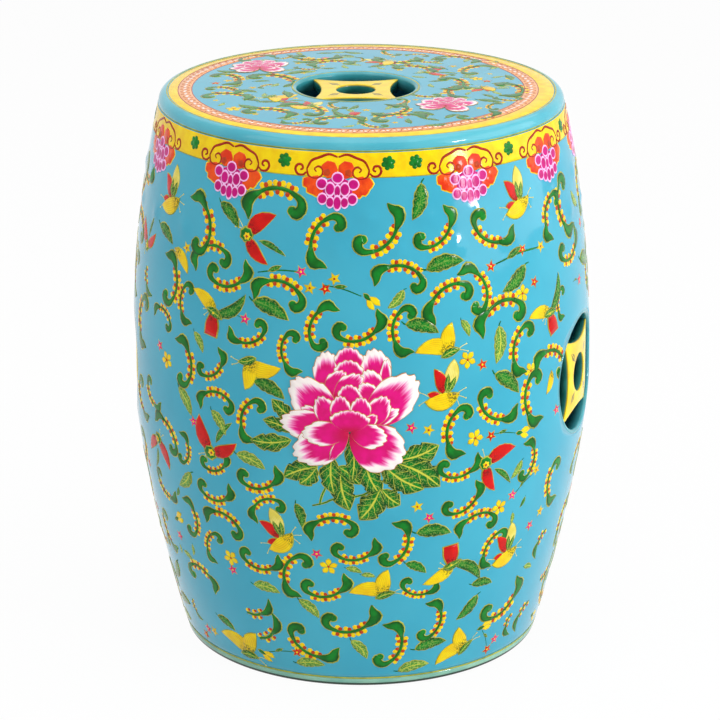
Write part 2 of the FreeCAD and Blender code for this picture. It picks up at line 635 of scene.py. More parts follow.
def web_finish():
    """Yellow enamel on the web's face, thin olive lines at its edges and teal in its openings."""
    material, tree, shader, place = new_finish("web_enamel", 0.16, gloss=0.25)
    paint = tree.take("ShaderNodeAttribute", {"attribute_name": "paint"}, output=1)
    parts = tree.node("ShaderNodeSeparateXYZ", (), {"Vector": paint})
    reach, depth, turn = (Value(tree.tree, socket) for socket in parts.outputs)
    clouds = tree.between(tree.noise(place, 1 / (14 * mm), 3.0), 0.35, 0.7)
    yellow = tree.blend(clouds, tint(246, 216, 0), tint(236, 196, 0))
    aside = tree.math("ABSOLUTE", tree.math("SUBTRACT", turn, 45.0)) * -1 + 45
    leaf_mark = tree.between(tree.math("ABSOLUTE", reach - leaf_mark_reach) * 0.34 + aside * 0.36, 2.9, 2.2)
    marked = tree.blend(leaf_mark, yellow, tint(126, 110, 24))
    edge = tree.between(depth, fret_recess / mm + 0.12, fret_recess / mm + 0.6)
    lined = tree.blend(edge, marked, tint(168, 150, 30))
    inside = tree.between(depth, fret_recess / mm + 0.7, fret_recess / mm + 1.6)
    teal = tree.blend(clouds, tint(60, 150, 140), tint(36, 118, 112))
    tree.give(shader.inputs["Base Color"], tree.blend(inside, lined, teal))
    ripple(tree, shader, place, 30 * mm, 0.1 * mm, 2 * mm, 0.01 * mm)
    return material


web_enamel = web_finish()
seat_window_depth = 11.2 * mm
side_window_depth = wall_thickness + 0.2 * mm
window_places = {"seat_fret": (seat_place, seat_window_depth)}
for node, angle in window_angles.items():
    window_places[node] = (side_place(angle), side_window_depth)
for node, (place, back) in window_places.items():
    dress(window_loop(node + "_collar", place, collar_outline, back), teal_glaze, "turquoise_glaze", [node])
    dress(window_loop(node + "_web", place, web_outline, back), web_enamel, "yellow_enamel")

# %% [markdown]
# ## Clay coils inside
# Rolls of soft clay are pressed into the inner corners before firing. They are only seen through
# the openings, so the solids themselves show, in bare clay.

# %% Bare clay
def clay():
    """Unglazed fired clay, with grit."""
    material, tree, shader, place = new_finish("bare_clay", 0.85)
    grit = tree.between(tree.noise(place, 1 / (1.2 * mm), 2.0), 0.45, 0.65)
    tree.give(shader.inputs["Base Color"], tree.blend(grit, tint(214, 198, 172), tint(186, 166, 138)))
    ripple(tree, shader, place, 12 * mm, 0.15 * mm, 0.9 * mm, 0.05 * mm)
    return material


bare_clay = clay()
for node in ("seat_luting_coil", "foot_luting_coil"):
    coil = frame["nodes"][node]
    coil.data.materials.clear()
    coil.data.materials.append(bare_clay)

# %% [markdown]
# ## Enamel strokes
# The painter loads a brush with enamel and leaves strokes that stand a few tenths of a
# millimetre proud. A drawing here is flat, in millimetres, with its points as complex numbers,
# so a turn and a scale are one multiplication. Each stroke is a thin closed pad with a sunk edge,
# kept in a heap for its enamel, and each point remembers where in its stroke it lies.

# %% Drawing kit
coat = 0.07
first_coat = 0.1
sunk = 0.05
line_width = 0.36
line_overrun = 0.7
blunt = 0.12
body_lanes = (-1, -0.8, -0.4, 0, 0.4, 0.8, 1)
blade_lanes = (-1, -0.85, -0.42, 0, 0.42, 0.85, 1)


class Drawing:
    """A flat drawing: for each enamel a heap of points, faces and paint places."""

    def __init__(self, start=0j, end=1 + 0j):
        self.heaps = {}
        self.start = start
        self.end = end

    def heap(self, enamel):
        return self.heaps.setdefault(enamel, ([], [], []))

    def lay(self, enamel, grid, lanes, level, kind=0.0, dome=0.06):
        """A pad over a grid of points: rows run along it, lanes run across from right to left."""
        points, faces, paint = self.heap(enamel)
        grid = np.vstack([grid[:1], grid, grid[-1:]])
        rows, count = grid.shape
        first = len(points)
        for row in range(rows):
            along = min(max((row - 1) / (rows - 3), 0), 1)
            for k, lane in enumerate(lanes):
                rim = row in (0, rows - 1) or k in (0, count - 1)
                height = -sunk if rim else first_coat + level * coat + dome * (1 - lane ** 2)
                points.append((grid[row, k].real, grid[row, k].imag, height))
                paint.append((lane, along, kind))
        for row in range(rows - 1):
            near, far = first + row * count, first + (row + 1) * count
            for k in range(count - 1):
                faces.append((near + k, far + k, far + k + 1, near + k + 1))
            faces.append((near + count - 1, far + count - 1, far, near))
        last = first + (rows - 1) * count
        faces.append(tuple(range(first, first + count)))
        faces.append(tuple(reversed(range(last, last + count))))

    def stroke(self, enamel, spine, right, left=None, level=1, lanes=(-1, 0, 1), kind=0.0):
        """A brush stroke along a spine, with half widths on its right and left."""
        spine = np.asarray(spine, complex)
        ahead = np.gradient(spine)
        side = 1j * ahead / np.abs(ahead)
        right = np.broadcast_to(right, spine.shape)
        left = right if left is None else np.broadcast_to(left, spine.shape)
        lanes = np.array(lanes, float)
        offset = np.where(lanes > 0, left[:, None] * lanes, right[:, None] * lanes)
        self.lay(enamel, spine[:, None] + side[:, None] * offset, lanes, level, kind)

    def blade(self, enamel, base, tip, half, bend=0.0, peak=0.45, level=1, kind=0.0, rows=7, line="gold",
              lobes=0):
        """A leaf, wing or bud from base to tip, with a thin line round it, and perhaps lobed."""
        def shape(half, extra):
            s = np.linspace(-extra, 1 + extra, rows)
            inner = np.clip((s + extra) / (1 + 2 * extra), 0, 1)
            spine = base + (tip - base) * (s + 1j * bend * np.sin(math.pi * inner))
            swell = np.sin(math.pi * inner ** (math.log(0.5) / math.log(peak))) ** 0.75
            notch = 0.3 * ((inner * lobes) % 1) ** 2 if lobes else 0
            return spine, half * swell * (1 - notch) + blunt
        if line:
            self.stroke(line, *shape(half + line_width, line_overrun / abs(tip - base)), level=level - 1,
                        lanes=body_lanes)
        self.stroke(enamel, *shape(half, 0), level=level, lanes=blade_lanes, kind=kind)

    def star(self, enamel, centre, radius, tips=5, waist=0.45, level=1, turn=0.0, kind=0.0):
        """A small flower or bead as one pad with pointed or lobed edge."""
        points, faces, paint = self.heap(enamel)
        first = len(points)
        count = 2 * tips
        for height, share in ((-sunk, 1.0), (first_coat + level * coat, 0.82)):
            for i in range(count):
                reach = radius * share * (waist if i % 2 else 1)
                angle = math.pi * i / tips + turn
                x, y = centre.real + reach * math.cos(angle), centre.imag + reach * math.sin(angle)
                points.append((x, y, height))
                paint.append((0.9 if share == 1 else 0.3, 0.5, kind))
        for i in range(count):
            j = (i + 1) % count
            faces.append((first + i, first + j, first + count + j, first + count + i))
        faces.append(tuple(range(first + count, first + 2 * count)))
        faces.append(tuple(reversed(range(first, first + count))))

    def dot(self, enamel, centre, radius, level=1):
        self.star(enamel, centre, radius, 4, 0.98, level)

    def line(self, enamel, route, half, level=1, rows=10):
        """A thin brush line through a few points, thinner at its ends."""
        spine = smooth(route, rows)
        taper = 0.45 + 0.55 * np.sin(math.pi * np.linspace(0.04, 0.96, rows)) ** 0.5
        self.stroke(enamel, spine, half * taper, level=level)

    def mirrored(self):
        """The same drawing turned over, with its faces still upwards."""
        other = Drawing(np.conj(self.start), np.conj(self.end))
        for enamel, (points, faces, paint) in self.heaps.items():
            flipped = [(x, -y, z) for x, y, z in points]
            other.heaps[enamel] = (flipped, [tuple(reversed(face)) for face in faces], list(paint))
        return other


def smooth(route, rows):
    """Evenly numbered points on a soft curve through a few points."""
    route = np.asarray(route, complex)
    padded = np.concatenate([[2 * route[0] - route[1]], route, [2 * route[-1] - route[-2]]])
    spine = []
    for s in np.linspace(0, len(route) - 1, rows):
        i = min(int(s), len(route) - 2)
        t = s - i
        a, b, c, d = padded[i:i + 4]
        spine.append(0.5 * (2 * b + (c - a) * t + (2 * a - 5 * b + 4 * c - d) * t ** 2
                            + (3 * b - a - 3 * c + d) * t ** 3))
    return np.array(spine)


def spread(widths, rows):
    """Half widths given at a few places, evened out over the rows."""
    return np.interp(np.linspace(0, 1, rows), np.linspace(0, 1, len(widths)), widths)


def polar(radius, degrees):
    """Point at a radius and an angle."""
    return radius * np.exp(1j * np.radians(degrees))


# %% [markdown]
# ## The scroll
# The commonest motif is a C scroll: a curled bud at one end, half a leaf at the other, and beads
# in yellow and brick red along a thin stem. It is drawn once, and its mirror image is the second
# form that the painter uses.

# %% Scroll
scroll_radius = 16.5
scroll_rise = 0.7


def on_scroll(degrees, out=0.0):
    """Point of the scroll's flattened arc, or at a distance outside it."""
    direction = polar(1, degrees)
    outward = scroll_rise * direction.real + 1j * direction.imag
    point = scroll_radius * (direction.real + 1j * scroll_rise * direction.imag)
    return point - 3j + out * outward / abs(outward)


def scroll():
    """C scroll that bulges upwards, its bud at the left and its leaf at the right."""
    art = Drawing(start=-13.5 - 7j, end=18 - 9j)
    stem = np.array([on_scroll(degrees) for degrees in np.linspace(158, 36, 13)])
    bud = smooth([on_scroll(134), on_scroll(152), -16.6 - 0.6j, -16.2 - 4.4j, -13.2 - 6.8j, -10.8 - 5.8j], 12)
    bud_right = spread([1.6, 1.7, 2.3, 2.9, 3.2, 3.0], 12)
    bud_left = spread([1.6, 2.2, 3.4, 4.5, 4.6, 3.4], 12)
    leaf = smooth([on_scroll(56), on_scroll(32), 16.6 - 0.6j, 16.8 - 4.8j, 18 - 9.4j], 9)
    leaf_left = spread([1.6, 4.6, 6.6, 7.0, 5.2, 2.8, 0.3], 9)
    leaf_right = spread([1.6, 1.8, 2.2, 2.4, 1.8, 0.3], 9)
    for enamel, extra, level in (("gold", line_width, 1), ("green", 0, 2)):
        art.stroke(enamel, stem, 1.85 + extra, level=level)
        art.stroke(enamel, bud, bud_left + extra, bud_right + extra, level=level, lanes=body_lanes)
        art.star(enamel, -10.9 - 5.6j, 3.3 + extra, 6, 0.96, level)
        art.stroke(enamel, leaf, leaf_right + extra, leaf_left + extra, level=level, lanes=body_lanes)
    for angle in (130, 102, 74):
        for aside in (-8, 8):
            art.dot("yellow", on_scroll(angle + aside, 3.0), 2.1, level=0)
        art.dot("brick", on_scroll(angle, 2.5), 1.8, level=1)
    for angle in (136, 109, 82, 60):
        art.dot("yellow", on_scroll(angle, -3.1), 2.1, level=0)
        art.dot("brick", on_scroll(angle - 10, -2.4), 1.7, level=1)
    return art


def sprout():
    """Small scroll with no bud: a leaf, a short stem and five beads."""
    art = Drawing(start=-14 + 4j, end=18 - 5j)
    stem = smooth([-14 + 4j, -5 + 8.5j, 6 + 7j], 9)
    leaf = smooth([1 + 8.4j, 8 + 6.4j, 13.5 + 1.6j, 18 - 5j], 9)
    leaf_left = spread([1.6, 4.4, 6.8, 6.6, 3.6, 0.3], 9)
    leaf_right = spread([1.6, 1.8, 0.3], 9)
    for enamel, extra, level in (("gold", line_width, 1), ("green", 0, 2)):
        art.stroke(enamel, stem, 1.8 + extra, level=level)
        art.stroke(enamel, leaf, leaf_right + extra, leaf_left + extra, level=level, lanes=body_lanes)
    for place in (-12 + 2.0j, -9 + 10.4j, -5.4 + 4.4j, -2.4 + 12j, 1.4 + 4.6j):
        art.dot("yellow", place, 2.3, level=0)
        art.dot("brick", place + 1.9, 1.8, level=1)
    return art


# %% [markdown]
# ## Leaves, flowers and butterflies
# These are blades: a spine from base to tip with a swelling width and a thin gilt line round it.
# Veins and hatching aren't drawn one by one. Each blade carries how far across and along it a
# point lies, and the enamel's finish draws its fine lines from that.

# %% Small motifs
def leaf(vein):
    """Curved leaf with a short stalk, dark or pale by its veins."""
    art = Drawing(start=0j, end=21 + 0j)
    art.blade("green", 0.5 + 0j, 21.5 + 0j, 4.6, bend=0.1, peak=0.42, level=2, kind=vein, rows=13, lobes=4)
    art.line("green", [-3 + 1.2j, 0j, 3 + 0.8j], 0.6, level=2, rows=4)
    return art


def wing_leaf():
    """Yellow leaf."""
    art = Drawing(start=0j, end=21 + 0j)
    art.blade("yellow", 0j, 20.5 + 0j, 4.2, bend=0.14, peak=0.45, level=2, kind=1.0)
    return art


def star(enamel):
    """Five-pointed little flower."""
    art = Drawing()
    art.star("gold", 0j, 6.0, level=0, turn=0.3)
    art.star(enamel, 0j, 5.2, level=1, turn=0.3, kind=1.6)
    art.dot("yellow" if enamel != "yellow" else "brick", 0j, 1.1, level=2)
    return art


def bloom():
    """Yellow flower with a gilt eye."""
    art = Drawing()
    for i in range(5):
        art.blade("yellow", polar(0.8, 72 * i + 20), polar(7.0, 72 * i + 20), 2.3, peak=0.6, rows=5)
    art.dot("brick", 0j, 1.2, level=3)
    return art


def bell():
    """Yellow bell flower on a green cup."""
    art = Drawing()
    art.blade("yellow", 0j, 11 + 2j, 2.6, bend=0.1, peak=0.6, rows=5)
    art.blade("yellow", 0j, 10 - 3j, 2.4, bend=-0.1, peak=0.6, rows=5)
    art.blade("green", -4 + 0j, 3 + 0j, 1.8, rows=5, level=3)
    return art


def stem():
    """Thin stalk with one small leaf."""
    art = Drawing(start=0j, end=30 + 0j)
    art.line("green", [0j, 15 + 1.4j, 30 + 0j], 0.7, level=1, rows=7)
    art.blade("green", 8 + 1j, 17 + 4j, 1.6, level=2, rows=5, kind=1.0)
    return art


def clover():
    """Green flower of six round lobes."""
    art = Drawing()
    for i in range(6):
        art.dot("green", polar(3.5, 60 * i), 2.3, level=1 + i % 2)
    art.dot("green", 0j, 3.0, level=3)
    return art


def curl():
    """Small red S of the seat's border, with a pink bead in each hook."""
    art = Drawing()
    route = [-4.6 - 1.4j, -3.2 - 3.6j, -0.9 - 2.6j, 0j, 0.9 + 2.6j, 3.2 + 3.6j, 4.6 + 1.4j]
    art.line("ruby", route, 0.62, rows=13)
    art.dot("pink", -2.7 - 0.4j, 1.3, level=1)
    art.dot("pink", 2.7 + 0.4j, 1.3, level=1)
    return art


def feelers(art, root, *tips):
    """Pale antennae with swollen ends."""
    for tip in tips:
        art.line("cream", [root, (root + tip) / 2 + 0.6j, tip], 0.36, level=1, rows=5)
        art.dot("cream", tip, 0.7, level=1)


def fan_butterfly():
    """Butterfly with red wings, a pale upright wing and a broad yellow wing."""
    art = Drawing()
    feelers(art, -10 - 6j, -20 - 3j, -18 - 13j)
    feelers(art, 9 - 1j, 17 + 6j, 19 - 2j, 15 - 9j)
    art.blade("cream", 0.5 - 1j, 1.5 + 27j, 6.0, bend=-0.06, peak=0.55, level=2, kind=1.0, rows=10)
    art.blade("red", -1.5 - 1j, -13 + 17j, 5.2, bend=-0.1, peak=0.42, level=3, kind=1.0, rows=9)
    art.blade("red", -2 - 4j, -13.5 - 3j, 3.6, level=3, kind=1.0)
    art.blade("green", 1 + 1j, -0.5 + 15j, 2.6, level=4, kind=1.5, rows=7)
    art.blade("green", 3 + 1j, 6 + 13.5j, 2.4, level=5, kind=1.5, rows=7)
    art.blade("yellow", 12 + 1.5j, -14 - 9.5j, 7.4, bend=0.12, peak=0.52, level=6, kind=1.0, rows=10)
    return art


def banana_butterfly():
    """Butterfly with two yellow wings and a speckled body."""
    art = Drawing()
    feelers(art, 6 - 1j, 14 + 3j, 15 - 3j)
    art.blade("yellow", 3 - 2j, -28 + 0j, 6.8, bend=-0.16, peak=0.44, level=2, kind=1.0, rows=10)
    art.blade("yellow", 1 - 2j, 2 + 21j, 6.2, bend=0.14, peak=0.46, level=4, kind=1.0, rows=9)
    art.blade("green", -7 - 5.5j, 8 - 0.5j, 3.6, bend=0.08, level=6, kind=1.5, rows=9)
    return art


def swallow_butterfly():
    """Butterfly with two swept red wings, a yellow body and a leafy tail."""
    art = Drawing()
    feelers(art, -5 + 4j, -10 + 11j, -13 + 5j)
    art.blade("green", 9 - 3j, 31 - 12j, 2.4, bend=0.08, level=1, kind=1.0)
    art.blade("red", -1 + 0j, 22 + 18j, 6.6, bend=0.12, peak=0.42, level=2, kind=1.0)
    art.blade("red", -1 - 1j, 17 - 20j, 5.4, bend=-0.1, peak=0.38, level=4, kind=1.0)
    art.star("gold", -2.4 + 0.6j, 7.0, 7, 0.86, level=5)
    art.star("green", -2.4 + 0.6j, 6.4, 7, 0.86, level=6)
    art.star("yellow", -1.6 - 0.6j, 4.0, 6, 0.7, level=7)
    art.star("brick", -1.8 - 0.8j, 1.7, 4, 0.6, level=8)
    return art


def cloak_butterfly():
    """Butterfly with a yellow wing, a long green wing and a square red one."""
    art = Drawing()
    feelers(art, -4 + 1j, -11 - 4j, -12 + 1j)
    art.blade("yellow", 1 - 1j, -25 + 15j, 6.2, bend=-0.1, peak=0.4, level=2, kind=1.0)
    art.blade("green", 0 - 1j, 30 + 20j, 5.2, bend=-0.16, peak=0.45, level=2, kind=1.0)
    art.stroke("gold", smooth([-1 - 1j, -2 - 10j, -3.5 - 20.5j], 6), spread([4.6, 8.2, 7.6], 6), level=3,
               lanes=(-1, -0.8, 0.8, 1))
    art.stroke("red", smooth([-1 - 2j, -2 - 10j, -3.4 - 19.8j], 6), spread([4, 7.6, 7.0], 6), level=4,
               lanes=(-1, -0.85, 0, 0.85, 1), kind=1.0)
    art.blade("green", -8 + 2.4j, 8 - 4.4j, 4.2, bend=0.05, level=6, kind=1.5, rows=9)
    art.dot("yellow", -1 - 0.5j, 1.3, level=9)
    return art


# %% [markdown]
# ## The heads under the rim
# Each head is a lotus under a cloud collar: a red line that curls in at both ends, two orange
# leaves inside it, two more at its sides, and magenta petals with white rims in three rows.

# %% Lotus head
def lotus_petal(art, centre, half_width, half_height, level):
    """Round petal, its rows closer together towards its ends."""
    turn = np.linspace(0, math.pi, 9)
    spine = centre + 1j * half_height * np.cos(turn)
    art.stroke("lotus", spine, half_width * np.sin(turn) + 0.1, level=level, lanes=blade_lanes)


def lotus_head():
    """Head with its middle on the rim band's lower edge."""
    art = Drawing()
    for side in (-1, 1):
        art.star("yellow", side * 16.6 + 2.4j, 6.6, 6, 0.95, level=1)
        for place, size in ((17.2 - 5.2j, 7.4), (22.4 - 4.6j, 5.2), (15.2 - 10.4j, 5.4), (19.6 - 9.2j, 4.8)):
            art.star("yellow", side * place.real + 1j * place.imag, size + 0.9, 5, 0.88, level=0)
            art.star("orange", side * place.real + 1j * place.imag, size, 5, 0.88, level=2)
        art.star("orange", side * 6.6 + 5.6j, 7.2, 7, 0.93, level=2)
        art.star("brick", side * 8.2 + 3.4j, 3.4, 5, 0.8, level=3)
        arch = [0.4 + 15j, 7.1 + 16.9j, 14.3 + 14.4j, 20.6 + 11.6j, 24 + 5.4j]
        lobe = [24 + 5.4j, 22.6 + 0.6j, 17.3 - 1.2j, 12.4 + 0.8j, 11.7 + 5.2j, 14.8 + 7.6j, 18 + 5.8j,
                16.4 + 3.6j]
        hook = [24.4 + 3j, 27 + 0.8j, 31 + 1.2j, 33.2 + 4.8j, 31.4 + 8.2j, 28 + 8j, 27.2 + 5.4j, 29.2 + 4.4j]
        for route in (arch, lobe, hook):
            route = [side * p.real + 1j * p.imag for p in route]
            art.line("ruby", route, 1.25, level=4, rows=20)
    rows = (((0, -0.4, 5.0, 4.6), (-12, -5.0, 4.8, 4.6), (12, -5.0, 4.8, 4.6)),
            ((-5.6, -8.8, 4.2, 5.6), (5.6, -8.8, 4.2, 5.6), (0, -10.4, 2.7, 5.4)),
            ((-11.2, -16.2, 4.2, 4.6), (11.2, -16.2, 4.2, 4.6), (-5.4, -18.6, 3.4, 4.6),
             (5.4, -18.6, 3.4, 4.6), (0, -19.0, 3.5, 6.2)))
    art.star("lotus", -11j, 12.5, 8, 0.94, level=4)
    for level, row in enumerate(rows):
        for x, y, half_width, half_height in row:
            lotus_petal(art, x + 1j * y, half_width, half_height, 5 + level)
    return art


# %% [markdown]
# ## The peony
# The front's great flower is built from the back petals to the front ones, each a fan with a
# scalloped edge. Colour runs from deep magenta at the base to white at the rim, by the place
# that each point keeps. Leaves with gilt veins fan out below it.

# %% Peony
petal_lanes = np.sin(np.linspace(-math.pi / 2, math.pi / 2, 27))
petal_rows = 9


def fan_petal(art, base, tip, half, level, waves, whiteness, extra=0.0, enamel="pink"):
    """Petal that opens like a fan, its far edge scalloped."""
    lanes = petal_lanes
    ahead = (tip - base) / abs(tip - base)
    length = abs(tip - base) + extra
    scallops = 0.075 * np.abs(np.cos(0.5 * waves * math.pi * lanes + 0.2 * level)) - 0.04
    reach = np.sqrt(1 - 0.62 * lanes ** 2) + scallops
    grid = []
    for s in np.linspace(0, 1, petal_rows):
        opening = (half + extra) * (0.06 + math.sin(math.pi / 2 * s ** 0.75))
        grid.append(base + ahead * (s * length * reach + 1j * opening * lanes))
    art.lay(enamel, np.array(grid), lanes, level, whiteness, dome=0.03)


back_petals = (
    (-16 + 29j, -17.5 + 63j, 10.5, 5, 0.77), (24 + 31j, 18 + 65.5j, 11.5, 5, 0.77),
    (27 + 29j, 29 + 57j, 4, 3, 0.85), (0 + 46j, -0.4 + 67j, 10.5, 5, 0.9),
    (0 + 38j, -0.4 + 57j, 10.5, 5, 0.9), (-17 + 27j, -4 + 48j, 8, 5, 0.9),
    (23 + 28j, 13 + 49j, 8, 5, 0.8), (-11 + 24j, 9 + 45j, 9, 5, 0.9),
    (22 + 23j, 9 + 38j, 7, 5, 0.84), (0.9 + 20j, -0.4 + 37.5j, 8, 5, 0.9),
)
side_petals = (
    (-9 + 5j, -43.5 + 39j, 15, 5, 0.77), (13 + 4.5j, 51 + 42j, 16, 5, 0.77),
    (-12 + 4.5j, -36 + 18j, 5.5, 3, 0.85), (15 + 4.5j, 38 + 17j, 5, 3, 0.8),
    (-9 + 1.8j, -53 + 5.5j, 11.5, 5, 0.8),
)
inner_petals = (
    (-11.6 + 3j, -23 + 27j, 8, 5, 0.9), (15 + 4j, 28.5 + 27.5j, 8.5, 5, 0.9),
    (-6.4 + 6j, -6.6 + 28.4j, 7.4, 5, 0.9), (9 + 7j, 9.2 + 27.5j, 7.4, 5, 0.9),
    (12 + 5j, 21 + 13j, 4, 3, 0.9),
)
front_petals = (
    (0 - 1.5j, -42 - 22j, 15, 5, 0.8), (0.9 - 1.8j, 41 - 24j, 19, 5, 0.8),
    (-0.5 - 2j, -14 - 23j, 4, 3, 1.0), (0 - 1j, -35.5 - 3j, 9.5, 5, 0.77),
    (1.3 - 1j, 28.5 - 6j, 9.5, 5, 0.8), (0.4 + 0j, 1.2 + 17j, 14.5, 7, 0.92),
)
peony_leaves = (
    (-42 + 8j, -59 + 20j, 4.6), (-45 - 3j, -66 + 3j, 4.2), (-46 - 10j, -76 - 14j, 5.6),
    (-25 - 31j, -49.5 - 41j, 6.4), (-26 - 32j, -38 - 45j, 5.4),
    (-13.3 - 22j, -12 - 50j, 6.6), (-8 - 30j, 6.6 - 43j, 5.0), (-7 - 34j, -0.6 - 64j, 7.2),
    (0.9 - 3j, 2.2 - 38j, 5.2), (38 - 25j, 67 - 16j, 7.4), (37 - 27j, 69 - 48j, 8.6),
    (28 - 30j, 56 - 49j, 7.6), (26 - 31j, 40 - 47j, 6.4), (12 - 24j, 24 - 52j, 6.4),
    (24 - 50j, 10 - 73j, 8.2), (26 - 50j, 39 - 62j, 6.2),
)
peony_stems = (
    (13 - 22j, 18 - 38j, 16 - 51j, 3 - 56j, -12 - 58j, -20 - 62j, -30 - 65j),
    (-17.6 - 46j, -22 - 56j, -24 - 64j),
)


def peony(with_leaves):
    """Whole flower, petals from the back to the front."""
    art = Drawing()
    if with_leaves:
        for route in peony_stems:
            art.line("gold", route, 1.5, level=0, rows=16)
            art.line("green", route, 1.0, level=1, rows=16)
        for i, (base, tip, half) in enumerate(peony_leaves):
            art.blade("green", base, tip + 0.12 * (tip - base), 1.45 * half, bend=0.06 * (-1) ** i, peak=0.5,
                      level=2 + i % 3, kind=1.5, rows=19, lobes=3)
    level = 4
    for ring in (back_petals, side_petals, inner_petals, front_petals):
        for i, (base, tip, half, waves, whiteness) in enumerate(ring):
            fan_petal(art, base, tip, half, level, waves, 0, extra=0.45, enamel="rose_line")
            fan_petal(art, base, tip, half, level + 0.5, waves, whiteness)
            level += 0.7
    return art


# %% [markdown]
# ## Where the painter puts things
# The wall's drawings are placed by two ends: an angle and a height for each, read off the front
# of the real stool. A letter gives the side to which a scroll bulges: up, down, left or right.
# The list covers the front half, and later cells carry it round to the back and sides.

# %% Scroll places
scroll_rows = (
    (-46, 365, -49.5, 401, "R"), (-16.5, 403, -29.5, 395, "U"), (-5, 396, -8.5, 363, "L"),
    (-35.5, 357, -45, 346, "U"), (-39.3, 352, -29.5, 363, "D"), (-57, 316, -58, 350, "R"),
    (-46, 330, -45.5, 303, "L"), (-15.8, 331, -26.7, 334, "U"), (-9, 303, -5.2, 331, "L"),
    (-5.3, 318, 3.8, 332, "D"), (-25, 316, -33.5, 309, "D"), (-15.5, 308, -14, 281, "L"),
    (-55, 291, -62, 296, "U"), (-67, 300, -67, 264, "L"), (-49.5, 254, -51.5, 286, "R"),
    (-42.3, 271, -36.5, 290, "R"), (-0.7, 384, 6.7, 412, "R"), (14.2, 385, 21.2, 408, "R"),
    (31.5, 398, 41.7, 384, "D"), (61, 391, 57, 362, "L"), (66.5, 402, 70.5, 364, "L"),
    (13.5, 346, 3.2, 350, "U"), (28.5, 325, 24, 354, "R"), (26.5, 337, 17.8, 317, "U"),
    (41.7, 312, 30.3, 301, "U"), (12.3, 328, 12.5, 297, "L"), (45.5, 298, 43.5, 265, "L"),
    (60, 318, 60, 297, "L"), (-33.3, 240, -42, 236, "U"), (-24, 248, -26, 218, "L"),
    (-42, 193, -35.3, 205, "D"), (-30, 190, -21, 201, "D"), (-51.2, 186, -50.3, 209, "R"),
    (-54.5, 188, -62, 207, "U"), (-43.5, 171, -34.5, 177, "D"), (-64, 160, -56, 150, "D"),
    (-20, 163, -27, 147, "U"), (-2.5, 146, -12.7, 138, "U"), (-34, 130, -44, 135, "U"),
    (-52.3, 120, -53, 148, "R"), (-39.8, 122, -42.5, 98, "L"), (-31.7, 119, -22, 121, "D"),
    (-6, 134, 3.3, 142, "D"), (-13.8, 117, -16.5, 84, "L"), (31.5, 257, 40.6, 241, "D"),
    (48, 258, 49.8, 222, "L"), (57, 252, 46.5, 262, "U"), (26.3, 243, 25.5, 209, "L"),
    (20, 203, 29, 208, "D"), (43.2, 177, 43.2, 205, "R"), (21.5, 166, 29, 184, "D"),
    (35.2, 140, 25.7, 134, "U"), (5.5, 123, 7.7, 155, "R"), (40.5, 126, 37, 100, "L"),
    (60, 172, 62, 140, "L"), (-70, 232, -66, 206, "L"), (-64, 240, -58, 226, "D"),
    (-18, 54, -6.6, 37, "D"), (-14.5, 98, -4.6, 109, "D"), (-9, 67, 2.8, 79, "D"), (-56, 75, -46, 66, "U"),
    (12.3, 101, 20.8, 98, "D"), (17.3, 47, 18, 77, "R"), (38.5, 58, 49, 80, "D"), (4.8, 26, 6.2, 60, "R"),
    (-66, 118, -62, 92, "L"),
)
sprout_rows = (
    (-34.5, 59, -26.5, 77, "R"), (-31.5, 36, -26, 64, "R"), (-61, 46, -57, 30, "L"),
    (50.5, 43, 52.5, 21, "L"), (60, 45, 56, 20, "L"), (60, 112, 57, 88, "L"), (-69, 330, -64, 310, "L"),
)

# %% Leaf and stem places
dark_leaf_rows = (
    (-38.5, 403, -32.5, 387), (-62.5, 370, -55.5, 360), (-27, 332, -18, 321), (15.5, 426, 13, 400),
    (16, 360, 25.5, 364), (44.5, 351, 37, 335), (10.5, 319, 18.3, 311), (-26.3, 269, -18.7, 258),
    (33.5, 270, 40.5, 251), (46, 156, 44.5, 148), (13.9, 144, 22.8, 141), (-16.3, 170, -15, 150),
    (-47.5, 44, -41, 36), (11.5, 117, 17, 107), (31.5, 87, 38.3, 84), (34, 76, 28.3, 57), (16, 33, 25.3, 37),
)
pale_leaf_rows = (
    (-44.5, 297, -41.5, 283), (10.2, 346, 6.5, 333), (24.5, 318, 26.5, 305), (35, 308, 34, 280),
    (-50, 247, -45.5, 228), (-38.5, 237, -34.5, 220), (-31.3, 205, -24, 197), (-47.5, 176, -53, 160),
    (-52.5, 106, -53, 96), (43, 191, 40, 178), (42, 145, 42, 135), (-30.5, 88, -23, 85),
    (-17.3, 81, -12, 66), (-4, 114, 0, 110), (-3, 45, 1.5, 28), (-58, 94, -54, 89), (-20, 18, -11.5, 19),
    (0, 108, 3.5, 106), (11.3, 13, 20.5, 17), (51.5, 86, 55.5, 82), (-60, 98, -60, 90),
)
yellow_leaf_rows = ((-54, 357, -48, 341), (53, 258, 51, 240))
stem_rows = (
    (-26, 355, -15, 359), (-9, 350, 0, 342), (-34, 320, -29.5, 317), (35, 357, 50, 361),
    (33, 221, 40, 217), (42, 163, 48, 175), (-29, 24, -20, 29), (38.5, 38, 42, 20),
)

